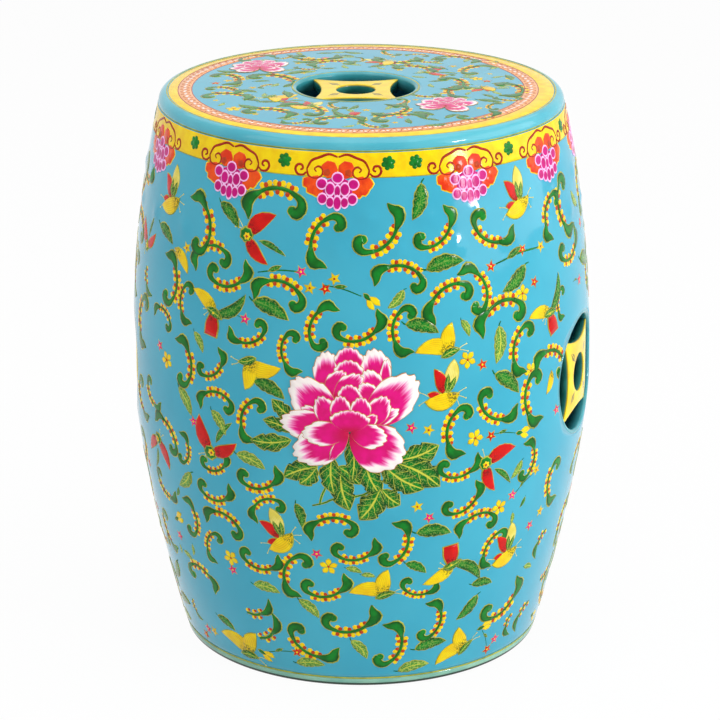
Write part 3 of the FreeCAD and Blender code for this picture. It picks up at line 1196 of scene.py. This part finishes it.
# %% Flower and butterfly places
flower_marks = {
    "pink_star": ((-14.8, 359), (-29, 317), (-58.5, 274), (11.8, 236), (55.5, 223), (17, 157), (41, 162),
                  (50, 126), (-58.5, 108), (-37, 97), (-11.5, 126), (-55, 24)),
    "red_star": ((-8.7, 347), (33.5, 356), (44, 363), (47.5, 335), (30, 280), (32.5, 220), (-19.5, 29),
                 (42.5, 16)),
    "yellow_star": ((-6.5, 355), (-12.5, 347), (51, 361), (16, 233), (13.8, 168), (49, 177), (54, 135),
                    (-51.5, 25)),
    "bloom": ((-55, 265), (43, 329), (26, 286), (28, 221), (37, 154), (-37, 108), (-8.5, 115)),
    "bell": ((1.5, 341), (41.5, 216), (-58, 124), (-31.5, 22), (38, 41)),
}
butterfly_marks = (
    ("fan_butterfly", -58, 395, 0, 0.95), ("fan_butterfly", 44, 402, 0, 0.95),
    ("fan_butterfly", 20, 262, -14, 1), ("fan_butterfly", -21, 138, 18, 0.95),
    ("fan_butterfly", 42, 110, 0, 0.95), ("banana_butterfly", -28, 282, 180, 1),
    ("banana_butterfly", 21.5, 296, 0, 1), ("banana_butterfly", 6.3, 91, 0, 1),
    ("banana_butterfly", 32.5, 28, 28, 1), ("banana_butterfly", -36.5, 18, -20, 1.1),
    ("swallow_butterfly", -29, 382, 0, 1), ("swallow_butterfly", -39, 203, 73, 1.05),
    ("swallow_butterfly", 32, 196, -20, 1), ("swallow_butterfly", -61.5, 190, -95, 0.9),
    ("swallow_butterfly", -70, 348, 85, 0.8), ("cloak_butterfly", -38, 317, 0, 0.95),
    ("cloak_butterfly", 53, 306, 28, 0.9), ("cloak_butterfly_turned", 24.5, 110, 0, 0.95),
)
head_angles = (-68.9, -36.1, -6.1, 29, 58.5, 85.5, 119, 153, 187, 221, 255.5)
head_height = 431.5
clover_angles = (-51, -20.5, 7.1, 14.4, 43.1, 72, 102, 136, 170, 204, 238, 273.5)
clover_height = 442
peony_place = (-2.9, 234.6)

# %% [markdown]
# ## From ends to placements
# A drawing made between two points is turned, sized and slid so that its own ends meet them.
# The bulge's letter decides whether the drawing or its mirror image is used.

# %% Placements
sides = {"R": 1, "L": -1, "U": 1j, "D": -1j}
drawings = {
    "scroll": scroll(), "sprout": sprout(), "dark_leaf": leaf(1.0), "pale_leaf": leaf(2.0),
    "yellow_leaf": wing_leaf(), "pink_star": star("pink"), "red_star": star("red"),
    "yellow_star": star("yellow"), "bloom": bloom(), "bell": bell(), "stem": stem(), "clover": clover(),
    "curl": curl(),
    "fan_butterfly": fan_butterfly(), "banana_butterfly": banana_butterfly(),
    "swallow_butterfly": swallow_butterfly(), "cloak_butterfly": cloak_butterfly(),
    "lotus_head": lotus_head(), "peony": peony(True), "seat_peony": peony(False),
}
for kind in ("scroll", "sprout", "cloak_butterfly"):
    drawings[kind + "_turned"] = drawings[kind].mirrored()
kinds = list(drawings)


def span(kind, start, end, bulge=None):
    """Kind, shift, turn and size that lay a drawing between two flat points."""
    if bulge and (1j * (end - start) * np.conj(sides[bulge])).real < 0:
        kind += "_turned"
    art = drawings[kind]
    factor = (end - start) / (art.end - art.start)
    return kind, start - factor * art.start, math.degrees(np.angle(factor)), abs(factor)


def wall_span(kind, row):
    """Placement on the wall, from two angles and heights and perhaps a bulge."""
    angle_a, z_a, angle_b, z_b = row[:4]
    angle, z = (angle_a + angle_b) / 2, (z_a + z_b) / 2
    girth = outer_radius(z * mm) / mm
    ends = [math.radians(a - angle) * girth + 1j * (h - z) for a, h in ((angle_a, z_a), (angle_b, z_b))]
    kind, shift, turn, size = span(kind, *ends, *row[4:])
    return kind, angle + math.degrees(shift.real / girth), z + shift.imag, turn, size


wall_rows = {
    "scroll": scroll_rows, "sprout": sprout_rows, "dark_leaf": dark_leaf_rows,
    "pale_leaf": pale_leaf_rows, "yellow_leaf": yellow_leaf_rows, "stem": stem_rows,
}
front = [wall_span(kind, row) for kind, rows in wall_rows.items() for row in rows]
flower_turn = 37
for kind, places in flower_marks.items():
    front += [(kind, angle, z, flower_turn * i % 90 - 45, 1) for i, (angle, z) in enumerate(places)]
front += list(butterfly_marks)
print(len(front), "drawings on the front")

# %% [markdown]
# ## Round to the sides and the back
# The back repeats the front. On the sides, patches of the front are carried round the wall
# wherever they have room, and small drawings are strewn into what stays bare. Each drawing
# keeps a room of its own round its middle, so that two of them don't cross.

# %% Round the wall
window_room = 66
broad_window_room = 72
rooms = {
    "scroll": 12, "sprout": 10, "peony": 56, "lotus": 20, "fan": 15, "banana": 15, "swallow": 14,
    "cloak": 14, "dark": 9, "pale": 8, "yellow_leaf": 8, "stem": 9,
}
small_room = 4
side_angles = (75, 285)
side_heights = (18, 404)


def clear_of_windows(placement):
    """Whether a placement keeps off the windows and their collars."""
    kind, angle, z = placement[:3]
    broad = kind.startswith(("scroll", "fan", "banana", "swallow", "cloak"))
    room = broad_window_room if broad else window_room
    for centre in window_angles.values():
        aside = (angle - centre + 180) % 360 - 180
        if math.hypot(math.radians(aside) * outer_radius(z * mm) / mm, z - window_height / mm) < room:
            return False
    return True


def carried(first, last, low, high, shift):
    """Copies of the front's drawings within a range of angles and heights, moved round the wall."""
    chosen = [p for p in front if first <= p[1] <= last and low <= p[2] <= high]
    moved = [(kind, angle + shift, z, turn, size) for kind, angle, z, turn, size in chosen]
    return [p for p in moved if clear_of_windows(p)]


def room_of(kind):
    """Room in millimetres that a drawing needs round its middle."""
    return next((room for start, room in rooms.items() if kind.startswith(start)), small_room)


def spaced(kept, extra, looseness=1.0):
    """Kept placements, and those of the extra ones that have room beside them."""
    kept = list(kept)
    for kind, angle, z, turn, size in extra:
        girth = outer_radius(z * mm) / mm
        gaps = []
        for other, a, h, _, _ in kept:
            aside = math.radians((angle - a + 180) % 360 - 180) * girth
            gaps.append(math.hypot(aside, z - h) - room_of(other) * looseness)
        if min(gaps) > room_of(kind) * looseness:
            kept.append((kind, angle, z, turn, size))
    return kept


def strewn(kind, count, size, seed):
    """Random places for one drawing on the sides and the back, clear of the windows."""
    chance = np.random.default_rng(seed)
    places = []
    for _ in range(count):
        angle, z = chance.uniform(*side_angles), chance.uniform(*side_heights)
        places.append((kind, angle, z, chance.uniform(0, 360), size))
    return [p for p in places if clear_of_windows(p)]


side_patches = (
    (-18, 19, 0, 152, 92), (-18, 19, 302, 415, 92), (-50, -32, 152, 302, 143),
    (-18, 17, 0, 160, -90), (-18, 17, 300, 415, -90),
)
loose_shifts = (100, -100, 143)
fillers = (
    ("scroll", 700, 1.0, 11), ("scroll_turned", 700, 0.95, 12), ("dark_leaf", 500, 1.0, 13),
    ("pale_leaf", 500, 0.9, 14), ("pink_star", 300, 1.0, 15), ("yellow_star", 200, 1.0, 16),
)
front_half = (-72, 72, 0, 460)
front_middle = (-60, 60, 0, 415)
loose_room = 1.1
filler_room = 1.05
wall_placements = front + carried(*front_half, 180)
for angle in (0, 180):
    wall_placements.append(("peony", peony_place[0] + angle, peony_place[1], 0, 1))
wall_placements += [("lotus_head", angle, head_height, 0, 1) for angle in head_angles]
wall_placements += [("clover", angle, clover_height, 15, 1) for angle in clover_angles]
for patch in side_patches:
    wall_placements = spaced(wall_placements, carried(*patch))
for shift in loose_shifts:
    wall_placements = spaced(wall_placements, carried(*front_middle, shift), loose_room)
for filler in fillers:
    wall_placements = spaced(wall_placements, strewn(*filler), filler_room)
print(len(wall_placements), "drawings on the wall")

# %% [markdown]
# ## The seat's painting
# The seat repeats the wall's motifs, smaller and closer, with two peonies. Places are in
# millimetres to the right and to the back of its middle.

# %% Seat places
seat_scroll_rows = (
    (-88, 30, -62, -2, "R"), (-122, -34, -92, -46, "U"), (-88, -84, -58, -100, "U"),
    (-30, -118, 2, -112, "U"), (-40, -92, -66, -66, "U"), (-52, 108, -20, 112, "D"),
    (14, 96, 46, 104, "D"), (92, 44, 112, 68, "L"),
    (66, 24, 64, -10, "R"), (16, -112, 50, -104, "U"), (112, 6, 110, -30, "R"), (86, -6, 84, -36, "L"),
    (-120, 38, -112, 6, "R"), (66, 98, 92, 82, "U"), (-96, 92, -72, 104, "U"), (28, -66, 8, -88, "R"),
    (-10, 78, -38, 66, "U"), (78, -96, 100, -76, "D"), (-122, -8, -104, -26, "R"), (30, 62, 54, 44, "R"),
)
seat_leaf_rows = (
    (-100, 50, -118, 56), (-60, 42, -42, 52), (-97, -12, -84, -20), (-80, -70, -96, -60), (72, -4, 86, 2),
    (92, -44, 110, -52), (40, -84, 56, -92), (-12, -98, -20, -82), (0, 118, -14, 124), (-62, -18, -58, -38),
    (70, 60, 56, 72), (118, 40, 122, 24), (-36, 88, -56, 86), (66, -118, 50, -122), (8, 66, 22, 74),
)
seat_marks = (
    ("seat_peony", -84, 62, 6, 0.46), ("seat_peony", 66, -66, -8, 0.44),
    ("banana_butterfly", -72, -36, 200, 0.8), ("swallow_butterfly", -62, -50, 30, 0.5),
    ("fan_butterfly", -44, -66, -40, 0.7), ("fan_butterfly", 18, 84, 60, 0.7),
    ("swallow_butterfly", 56, 48, 10, 0.7), ("fan_butterfly", 98, -8, 100, 0.65),
    ("cloak_butterfly", -8, -96, 170, 0.6), ("banana_butterfly", 112, 90, 90, 0.4),
    ("red_star", -118, 12, 0, 0.9), ("yellow_star", -108, 20, 20, 0.9), ("red_star", 102, 18, 0, 0.9),
    ("bloom", 94, 26, 10, 0.8), ("red_star", 66, 66, 0, 0.8), ("yellow_star", 76, 70, 30, 0.8),
    ("pink_star", -30, 100, 0, 0.8), ("bloom", -44, 98, 0, 0.8), ("pink_star", 30, -100, 0, 0.8),
    ("bloom", -100, -72, 0, 0.9), ("red_star", -92, -64, 0, 0.8), ("yellow_star", 4, -78, 0, 0.8),
)
seat_placements = list(seat_marks)
for kind, rows in (("scroll", seat_scroll_rows), ("dark_leaf", seat_leaf_rows)):
    for x_a, y_a, x_b, y_b, *bulge in rows:
        kind_used, shift, turn, size = span(kind, x_a + 1j * y_a, x_b + 1j * y_b, *bulge)
        seat_placements.append((kind_used, shift.real, shift.imag, turn, size))

seat_field = 130
seat_field_edge = 124
seat_window_room = 62
seat_peony_room = 14
size_range = (0.85, 1.15)


def fill_seat(kept, kind, count, room, size, seed):
    """Add small drawings at random where there's room, clear of the window and the peonies."""
    chance = np.random.default_rng(seed)
    for _ in range(count):
        radius = seat_field * math.sqrt(chance.random())
        angle, turn = chance.uniform(0, 360), chance.uniform(0, 360)
        place = polar(radius, angle)
        gaps = [abs(place - x - 1j * y) - (seat_peony_room if other == "seat_peony" else 0)
                for other, x, y, _, _ in kept]
        off_window = abs(place - seat_window_offset / mm) > seat_window_room
        if min(gaps) > room and radius < seat_field_edge and off_window:
            kept.append((kind, place.real, place.imag, turn, size * chance.uniform(*size_range)))


for kind, count, room, size, seed in (
        ("scroll", 900, 24, 0.6, 3), ("scroll_turned", 900, 21, 0.5, 4), ("dark_leaf", 900, 15, 0.6, 5),
        ("yellow_star", 500, 12, 0.7, 6), ("pale_leaf", 900, 11, 0.5, 7)):
    fill_seat(seat_placements, kind, count, room, size, seed)
border_curls = 104
border_middle = 139.5
border_slide = -2.5
for i in range(border_curls):
    angle = 360 * i / border_curls
    place = polar(border_middle, angle)
    seat_placements.append(("curl", place.real + border_slide, place.imag, angle - 90, 1))
print(len(seat_placements), "drawings on the seat")

# %% [markdown]
# ## Laying a drawing on clay
# Geometry Nodes do the wrapping. Each placement is one point, which takes its drawing from a
# collection, turned and sized. Once the copies are real, every point's sideways distance becomes
# an angle round the barrel, a ray finds the glaze there, and the point keeps its own height above
# it. On the seat the rays simply fall straight down. Bosses and dome are followed for free.

# %% Wrapping tree
def wrapping_tree(name, flat):
    """Tree that lays drawings on a ground mesh, round the axis or flat."""
    group = bpy.data.node_groups.new(name, "GeometryNodeTree")
    for label, kind in (("Geometry", "Geometry"), ("Drawings", "Collection"), ("Ground", "Object"),
                        ("Enamel", "Material"), ("Ray start", "Float")):
        group.interface.new_socket(label, in_out="INPUT", socket_type="NodeSocket" + kind)
    group.interface.new_socket("Geometry", in_out="OUTPUT", socket_type="NodeSocketGeometry")
    tree = Tree(group)
    given = {s.name: Value(group, s) for s in group.nodes.new("NodeGroupInput").outputs if s.name}

    def kept(attribute, kind="FLOAT"):
        return tree.take("GeometryNodeInputNamedAttribute", {"data_type": kind}, {"Name": attribute})

    def vector(x, y, z):
        return tree.take("ShaderNodeCombineXYZ", (), {"X": x, "Y": y, "Z": z})

    def scaled(arrow, factor):
        return tree.take("ShaderNodeVectorMath", {"operation": "SCALE"}, {"Vector": arrow, "Scale": factor})

    shelf = {"Collection": given["Drawings"], "Separate Children": True, "Reset Children": True}
    drawn = tree.take("GeometryNodeCollectionInfo", (), shelf)
    copies = tree.take("GeometryNodeInstanceOnPoints", (), {
        "Points": given["Geometry"], "Instance": drawn, "Pick Instance": True,
        "Instance Index": kept("kind", "INT"), "Rotation": vector(0.0, 0.0, kept("turn")),
        "Scale": kept("size")})
    real = tree.take("GeometryNodeRealizeInstances", (), {"Geometry": copies})
    place = tree.node("ShaderNodeSeparateXYZ", (), {"Vector": tree.take("GeometryNodeInputPosition")})
    x, y, rise = (Value(group, s) for s in place.outputs)
    if flat:
        outward = vector(0.0, 0.0, 1.0)
        start = vector(kept("across") + x, kept("up") + y, given["Ray start"])
    else:
        angle = kept("across") + x / kept("girth")
        sine, cosine = angle.math("SINE"), angle.math("COSINE")
        outward = vector(sine, cosine * -1, 0.0)
        start = vector(sine * given["Ray start"], cosine * -1 * given["Ray start"], kept("up") + y)
    ground = tree.take("GeometryNodeObjectInfo", {"transform_space": "RELATIVE"},
                       {"Object": given["Ground"]}, output="Geometry")
    aim = {"Target Geometry": ground, "Source Position": start, "Ray Direction": scaled(outward, -1.0)}
    hit = tree.take("GeometryNodeRaycast", (), aim, output="Hit Position")
    landed = tree.take("ShaderNodeVectorMath", {"operation": "ADD"}, {0: hit, 1: scaled(outward, rise)})
    moved = tree.take("GeometryNodeSetPosition", (), {"Geometry": real, "Position": landed})
    made = tree.take("GeometryNodeSetMaterial", (), {"Geometry": moved, "Material": given["Enamel"]})
    end = group.nodes.new("NodeGroupOutput")
    tree.give(end.inputs["Geometry"], made)
    return group


wrap_wall = wrapping_tree("wrap_wall", flat=False)
wrap_seat = wrapping_tree("wrap_seat", flat=True)

# %% [markdown]
# ## Enamel finishes
# Enamels are a little softer in gloss than the glaze. Most of the painter's fine lines live here:
# veins on leaves, hatching on wings, and the petals' run from magenta to white, streaked as the
# brush leaves it.

# %% Enamel finishes
enamel_gloss = 0.2
enamel_roughness = 0.15


def enamel_finish(name, thin, thick, recipe=None):
    """Enamel whose clouds may be painted over by a recipe that knows each point's place."""
    material, tree, shader, place = new_finish(name, enamel_roughness, enamel_gloss)
    clouds = tree.between(tree.noise(place, 1 / (9 * mm), 3.0), 0.32, 0.68)
    colour = tree.blend(clouds, thin, thick)
    if recipe:
        paint = tree.take("ShaderNodeAttribute", {"attribute_name": "paint"}, output=1)
        parts = tree.node("ShaderNodeSeparateXYZ", (), {"Vector": paint})
        lane, along, kind = (Value(tree.tree, socket) for socket in parts.outputs)
        colour = recipe(tree, colour, lane, lane.math("ABSOLUTE"), along, kind)
    tree.give(shader.inputs["Base Color"], colour)
    ripple(tree, shader, place, 30 * mm, 0.1 * mm, 1.6 * mm, 0.01 * mm)
    return material


def veined(tree, colour, lane, reach, along, kind):
    """Green that darkens to its edges, with a midrib and side veins on leaves."""
    shade = tree.between(reach, 0.25, 0.95)
    body = tree.blend(shade * 0.88, colour, tint(0, 46, 8))
    body = tree.blend(tree.between(kind, 1.6, 2.0) * 0.4, body, tint(130, 180, 80))
    place = tree.take("ShaderNodeTexCoord", output="Object")
    speckle = tree.between(tree.noise(place, 1 / (1.3 * mm), 1.0), 0.53, 0.6)
    leafy = tree.between(kind, 0.6, 1.0) * 0.28 + tree.between(kind, 1.6, 2.0) * 0.36
    body = tree.blend(speckle * leafy, body, tint(196, 208, 96))
    side = tree.math("FRACT", along * 4.6 - reach * 1.3)
    veins = tree.math("MAXIMUM", tree.between(side, 0.1, 0.03), tree.between(reach, 0.11, 0.04))
    gilt = tree.blend(tree.between(kind, 1.1, 1.5), tint(110, 160, 60), tint(214, 210, 70))
    strength = (tree.between(kind, 0.6, 1.5) * 0.6 + 0.3) * tree.between(kind, 0.4, 0.8)
    return tree.blend(veins * strength, body, gilt)


def hatched(line_colour, lines=4.0):
    """Recipe for wings: faint lines fan out from a root that is stippled dark."""
    def recipe(tree, colour, lane, reach, along, kind):
        comb = tree.between(tree.math("FRACT", (lane + 1) * lines), 0.3, 0.12)
        place = tree.take("ShaderNodeTexCoord", output="Object")
        stipple = tree.between(tree.noise(place, 1 / (1.5 * mm), 1.0), 0.5, 0.56)
        root = tree.between(along, 0.46, 0.22) * tree.math("MAXIMUM", comb, stipple) * 0.85
        marks = tree.math("MAXIMUM", comb * tree.between(along, 0.97, 0.7) * 0.3, root)
        return tree.blend(marks * tree.between(kind, 0.4, 0.8), colour, line_colour)
    return recipe


def petal_fade(tree, colour, lane, reach, along, kind):
    """Deep magenta at the base, white at the scalloped rim, with streaks between."""
    combed = tree.take("ShaderNodeCombineXYZ", (), {"X": lane * 7.0, "Y": along * 1.1, "Z": kind * 9.0})
    streaks = tree.noise(combed, 1.6, 3.0) - 0.5
    edge = reach * reach * reach * along * 0.26
    run = along + edge + streaks * 0.3
    base = tree.blend(tree.between(along, 0.5, 0.05), colour, tint(196, 0, 70))
    pale = tree.blend(tree.between(run, kind - 0.08, kind + 0.06), base, tint(244, 140, 200))
    return tree.blend(tree.between(run, kind, kind + 0.12), pale, tint(250, 240, 236))


def lotus_rim(tree, colour, lane, reach, along, kind):
    """Magenta drop with a clean white rim."""
    tall = tree.math("COSINE", along * math.pi)
    broad = reach * tree.math("SINE", along * math.pi)
    round_reach = tree.math("SQRT", tall * tall + broad * broad)
    return tree.blend(tree.between(round_reach, 0.7, 0.8), colour, tint(250, 192, 240))


enamels = {
    "gold": (enamel_finish("gilt_line", tint(186, 186, 60), tint(146, 150, 44)), "yellow_enamel"),
    "rose_line": (enamel_finish("rose_line", tint(214, 160, 84), tint(190, 128, 70)), "yellow_enamel"),
    "green": (enamel_finish("leaf_enamel", tint(0, 132, 34), tint(0, 102, 20), veined), "green_enamel"),
    "yellow": (enamel_finish("yellow_enamel", tint(248, 216, 0), tint(240, 196, 0),
                             hatched(tint(60, 72, 8))), "yellow_enamel"),
    "cream": (enamel_finish("cream_enamel", tint(240, 226, 120), tint(226, 208, 80),
                            hatched(tint(100, 120, 40))), "white_enamel"),
    "red": (enamel_finish("red_enamel", tint(218, 12, 0), tint(196, 4, 0),
                          hatched(tint(120, 6, 6), 5.0)), "red_enamel"),
    "orange": (enamel_finish("orange_enamel", tint(240, 84, 10), tint(222, 50, 8)), "red_enamel"),
    "brick": (enamel_finish("brick_enamel", tint(196, 70, 16), tint(176, 50, 10)), "red_enamel"),
    "ruby": (enamel_finish("ruby_line", tint(172, 30, 10), tint(150, 18, 6)), "red_enamel"),
    "pink": (enamel_finish("peony_enamel", tint(228, 0, 130), tint(212, 0, 106), petal_fade), "pink_enamel"),
    "lotus": (enamel_finish("lotus_enamel", tint(204, 0, 128), tint(182, 0, 106), lotus_rim), "pink_enamel"),
    "peach": (enamel_finish("peach_enamel", tint(244, 178, 120), tint(236, 160, 100)), "white_enamel"),
}


# %% Painting
def shelf_of(enamel, wanted):
    """Collection of a mesh for each wanted drawing that uses an enamel, and their names."""
    shelf = bpy.data.collections.new("shelf_" + enamel)
    bpy.context.scene.collection.children.link(shelf)
    used = [kind for kind in kinds if kind in wanted and enamel in drawings[kind].heaps]
    for i, kind in enumerate(used):
        points, faces, paint = drawings[kind].heaps[enamel]
        mesh = bpy.data.meshes.new(f"{i:02d}_{kind}")
        mesh.from_pydata([(x * mm, y * mm, z * mm) for x, y, z in points], [], faces)
        mesh.polygons.foreach_set("use_smooth", [True] * len(mesh.polygons))
        sample = bpy.data.objects.new(mesh.name, mesh)
        shelf.objects.link(sample)
        store_vectors(sample, "paint", paint)
    return shelf, used


def point_cloud(placements, used, flat):
    """One point at the origin for each placement, with its place in attributes."""
    chosen = [p for p in placements if p[0] in used]
    mesh = bpy.data.meshes.new("placements")
    mesh.from_pydata([(0, 0, 0)] * len(chosen), [], [])
    columns_of = {
        "across": [p[1] * mm if flat else math.radians(p[1]) for p in chosen],
        "up": [p[2] * mm for p in chosen],
        "girth": [1.0 if flat else outer_radius(p[2] * mm) for p in chosen],
        "turn": [math.radians(p[3]) for p in chosen],
        "size": [p[4] for p in chosen],
    }
    for label, values in columns_of.items():
        mesh.attributes.new(label, "FLOAT", "POINT").data.foreach_set("value", values)
    mesh.attributes.new("kind", "INT", "POINT").data.foreach_set("value", [used.index(p[0]) for p in chosen])
    return mesh


ray_room = 50 * mm


def painted(name, enamel, placements, ground, flat):
    """Every stroke of one enamel on the wall or the seat, as one piece."""
    material, slot = enamels[enamel]
    shelf, used = shelf_of(enamel, {p[0] for p in placements})
    if not used:
        return None
    holder = bpy.data.objects.new("holder", point_cloud(placements, used, flat))
    bpy.context.scene.collection.objects.link(holder)
    modifier = holder.modifiers.new("wrap", "NODES")
    modifier.node_group = wrap_seat if flat else wrap_wall
    items = modifier.node_group.interface.items_tree
    sockets = {item.name: item.identifier for item in items if item.in_out == "INPUT"}
    values = {"Drawings": shelf, "Ground": ground, "Enamel": material,
              "Ray start": (total_height if flat else waist_radius) + ray_room}
    for label, value in values.items():
        modifier[sockets[label]] = value
    scene_state = bpy.context.evaluated_depsgraph_get()
    mesh = bpy.data.meshes.new_from_object(holder.evaluated_get(scene_state))
    mesh.name = name
    made = bpy.data.objects.new(name, mesh)
    bpy.context.scene.collection.objects.link(made)
    bpy.data.objects.remove(holder)
    for sample in list(shelf.objects):
        bpy.data.objects.remove(sample)
    bpy.data.collections.remove(shelf)
    return dress(made, material, slot)


for enamel in enamels:
    painted("wall_" + enamel, enamel, wall_placements, wall, flat=False)
    painted("seat_" + enamel, enamel, seat_placements, seat, flat=True)

# %% [markdown]
# ## Bands and lines
# On a turning wheel a full brush draws rings by itself: the yellow band under the rim, the seat's
# border, and olive lines that hide every joint between two pieces of clay.

# %% Painted rings
band_low = 431.5 * mm
thin_line = 0.8 * mm
skin = 0.05 * mm
line_rise = 0.13 * mm
soft_edge = 0.2 * mm
ring_rows = 8


def wall_ring(name, low, high, rise, enamel):
    """Ring of enamel round the wall between two heights."""
    inner = np.linspace(low, high, ring_rows)
    edge = min(soft_edge, (high - low) / 4)
    outline = [(outer_radius(low) - skin, low), (outer_radius(low + edge) + rise, low + edge)]
    outline += [(outer_radius(z) + rise, z) for z in inner[1:-1]]
    outline += [(outer_radius(high - edge) + rise, high - edge), (outer_radius(high) - skin, high)]
    return dress(turned(name, outline, steps=columns), *enamels[enamel])


def seat_ring(name, inner, outer, rise, enamel, shift=0.0):
    """Ring of enamel on the seat between two radii."""
    edge = min(soft_edge, (outer - inner) / 4)
    outline = [(outer, -skin), (outer - edge, rise), (inner + edge, rise), (inner, -skin)]
    points = []
    for i in range(turn_steps):
        for radius, lift in outline:
            x, y, z = around(i * 360 / turn_steps, radius, 0)
            points.append((x + shift, y, seat_height(x + shift, y) + lift))
    return dress(mesh_piece(name, points, ring_quads(turn_steps, len(outline))), *enamels[enamel])


def bead_line(name, angle, width, rise):
    """Olive line round the rolled rim, at an angle up its section."""
    half = math.degrees(width / rim_bead_radius) / 2
    outline = arc(bead_centre, rim_bead_radius - skin, angle - half, angle - half, 1)
    outline += arc(bead_centre, rim_bead_radius + rise, angle - 0.6 * half, angle + 0.6 * half, 3)
    outline += arc(bead_centre, rim_bead_radius - skin, angle + half, angle + half, 1)
    return dress(turned(name, outline), *enamels["gold"])


border_inner = 134 * mm
border_outer = 145 * mm
border_shift = border_slide * mm
border_line_half = 0.5 * mm
border_coat = 0.04 * mm
band_lap = 6 * mm
band_margin = 0.7 * mm
bead_line_rise = 0.1 * mm
wall_ring("rim_band", band_low, wall_top, skin, "yellow")
wall_ring("rim_band_line", band_low - thin_line / 2, band_low + thin_line / 2, line_rise, "gold")
wall_ring("foot_line", wall_bottom - thin_line, wall_bottom + thin_line, line_rise, "gold")
bead_line("bead_lower_line", bead_toe + 6, 1.5 * mm, bead_line_rise)
bead_line("bead_upper_line", 86, 1.3 * mm, bead_line_rise)
seat_ring("seat_edge_band", border_outer - band_lap, seat_edge_radius - band_margin, skin, "yellow")
seat_ring("seat_border", border_inner, border_outer, skin + border_coat, "peach", border_shift)
for name, radius in (("seat_border_line", border_inner), ("seat_border_outer_line", border_outer)):
    seat_ring(name, radius - border_line_half, radius + border_line_half, line_rise, "ruby", border_shift)
joint_line_half = 0.8 * mm
joint_line_slope = 0.3 * mm
joint_line_rise = 0.12 * mm


def ring_line_outline(turn, back):
    """Thin line over the joint of collar and wall."""
    near, far = window_radius - joint_line_half, window_radius + joint_line_half
    top = [(far - joint_line_slope, -joint_line_rise), (near + joint_line_slope, -joint_line_rise)]
    return [(near, skin), (far, skin)] + top


dress(window_loop("seat_window_line", seat_place, ring_line_outline, 0), *enamels["gold"])

# %% [markdown]
# ## The floor, the light and the camera
# A glazed pot is lit by big soft boxes, whose reflections draw its shape. A small bright one to
# the right of the front makes the highlight under the rim. The floor is as white as the backdrop
# for the camera and in reflections, and it keeps a faint shadow under the foot.

# %% Floor and world
floor_half = 12
floor_grey = (0.88, 0.88, 0.88, 1)
white = (1, 1, 1, 1)
white_share = 0.95
world_strength = 0.48


def white_floor():
    """Large floor, white to the camera and in reflections, with a faint shadow."""
    corners = [(x * floor_half, y * floor_half, 0) for x, y in ((-1, -1), (1, -1), (1, 1), (-1, 1))]
    floor = mesh_piece("floor", corners, [(0, 1, 2, 3)], smooth=False)
    material = bpy.data.materials.new("white_floor")
    material.use_nodes = True
    tree = Tree(material.node_tree)
    matt = tree.take("ShaderNodeBsdfDiffuse", (), {"Color": floor_grey})
    glow = tree.take("ShaderNodeEmission", (), {"Color": white, "Strength": 1.0})
    paths = tree.node("ShaderNodeLightPath")
    seen = sum(Value(tree.tree, paths.outputs[name]) for name in ("Is Camera Ray", "Is Glossy Ray"))
    mixed = tree.take("ShaderNodeMixShader", (), {"Fac": seen * white_share, 1: matt, 2: glow})
    output = next(n for n in material.node_tree.nodes if n.type == "OUTPUT_MATERIAL")
    tree.give(output.inputs["Surface"], mixed)
    floor.data.materials.append(material)


def white_world(strength):
    """World that lights the object gently, and is white to the camera and in reflections."""
    world = bpy.data.worlds.new("studio")
    bpy.context.scene.world = world
    world.use_nodes = True
    tree = Tree(world.node_tree)
    paths = tree.node("ShaderNodeLightPath")
    rays = ("Is Camera Ray", "Is Glossy Ray", "Is Transmission Ray")
    seen = sum(Value(tree.tree, paths.outputs[name]) for name in rays)
    glow = next(n for n in world.node_tree.nodes if n.type == "BACKGROUND")
    tree.give(glow.inputs["Strength"], seen * (1 - strength) + strength)
    glow.inputs["Color"].default_value = white


white_floor()
white_world(world_strength)


# %% Lamps and camera
def soft_box(name, angle, rise, distance, width, tall, power):
    """Rectangular lamp aimed at the middle of the stool."""
    lamp = bpy.data.lights.new(name, "AREA")
    lamp.shape = "RECTANGLE"
    lamp.size = width
    lamp.size_y = tall
    lamp.energy = power
    made = bpy.data.objects.new(name, lamp)
    bpy.context.scene.collection.objects.link(made)
    turn, lift = math.radians(angle), math.radians(rise)
    across = distance * math.cos(lift)
    height = total_height / 2 + distance * math.sin(lift)
    made.location = (across * math.sin(turn), -across * math.cos(turn), height)
    made.rotation_euler = (math.pi / 2 - lift, 0, turn)


soft_box("bright_box_right", 53, 12, 2.2, 0.3, 0.26, 11)
soft_box("broad_box_right", 78, 18, 2.4, 2.8, 1.8, 27)
soft_box("broad_box_left", -50, 38, 2.6, 1.6, 1.6, 9)
soft_box("back_box", 180, 52, 2.6, 3.2, 1.2, 7)
soft_box("top_box", 0, 80, 2.0, 2.0, 2.0, 20)

photo_lens = 150.1
photo_tilt = 18.98
photo_shift = -0.0018
photo_place = (0, -2.3597, 1.0395)
camera_data = bpy.data.cameras.new("camera")
camera_data.lens = photo_lens
camera_data.sensor_width = 36
camera_data.shift_x = photo_shift
camera = bpy.data.objects.new("camera", camera_data)
camera.location = photo_place
camera.rotation_euler = (math.radians(90 - photo_tilt), 0, 0)
bpy.context.scene.collection.objects.link(camera)
bpy.context.scene.camera = camera
bpy.context.scene.view_settings.view_transform = "Standard"
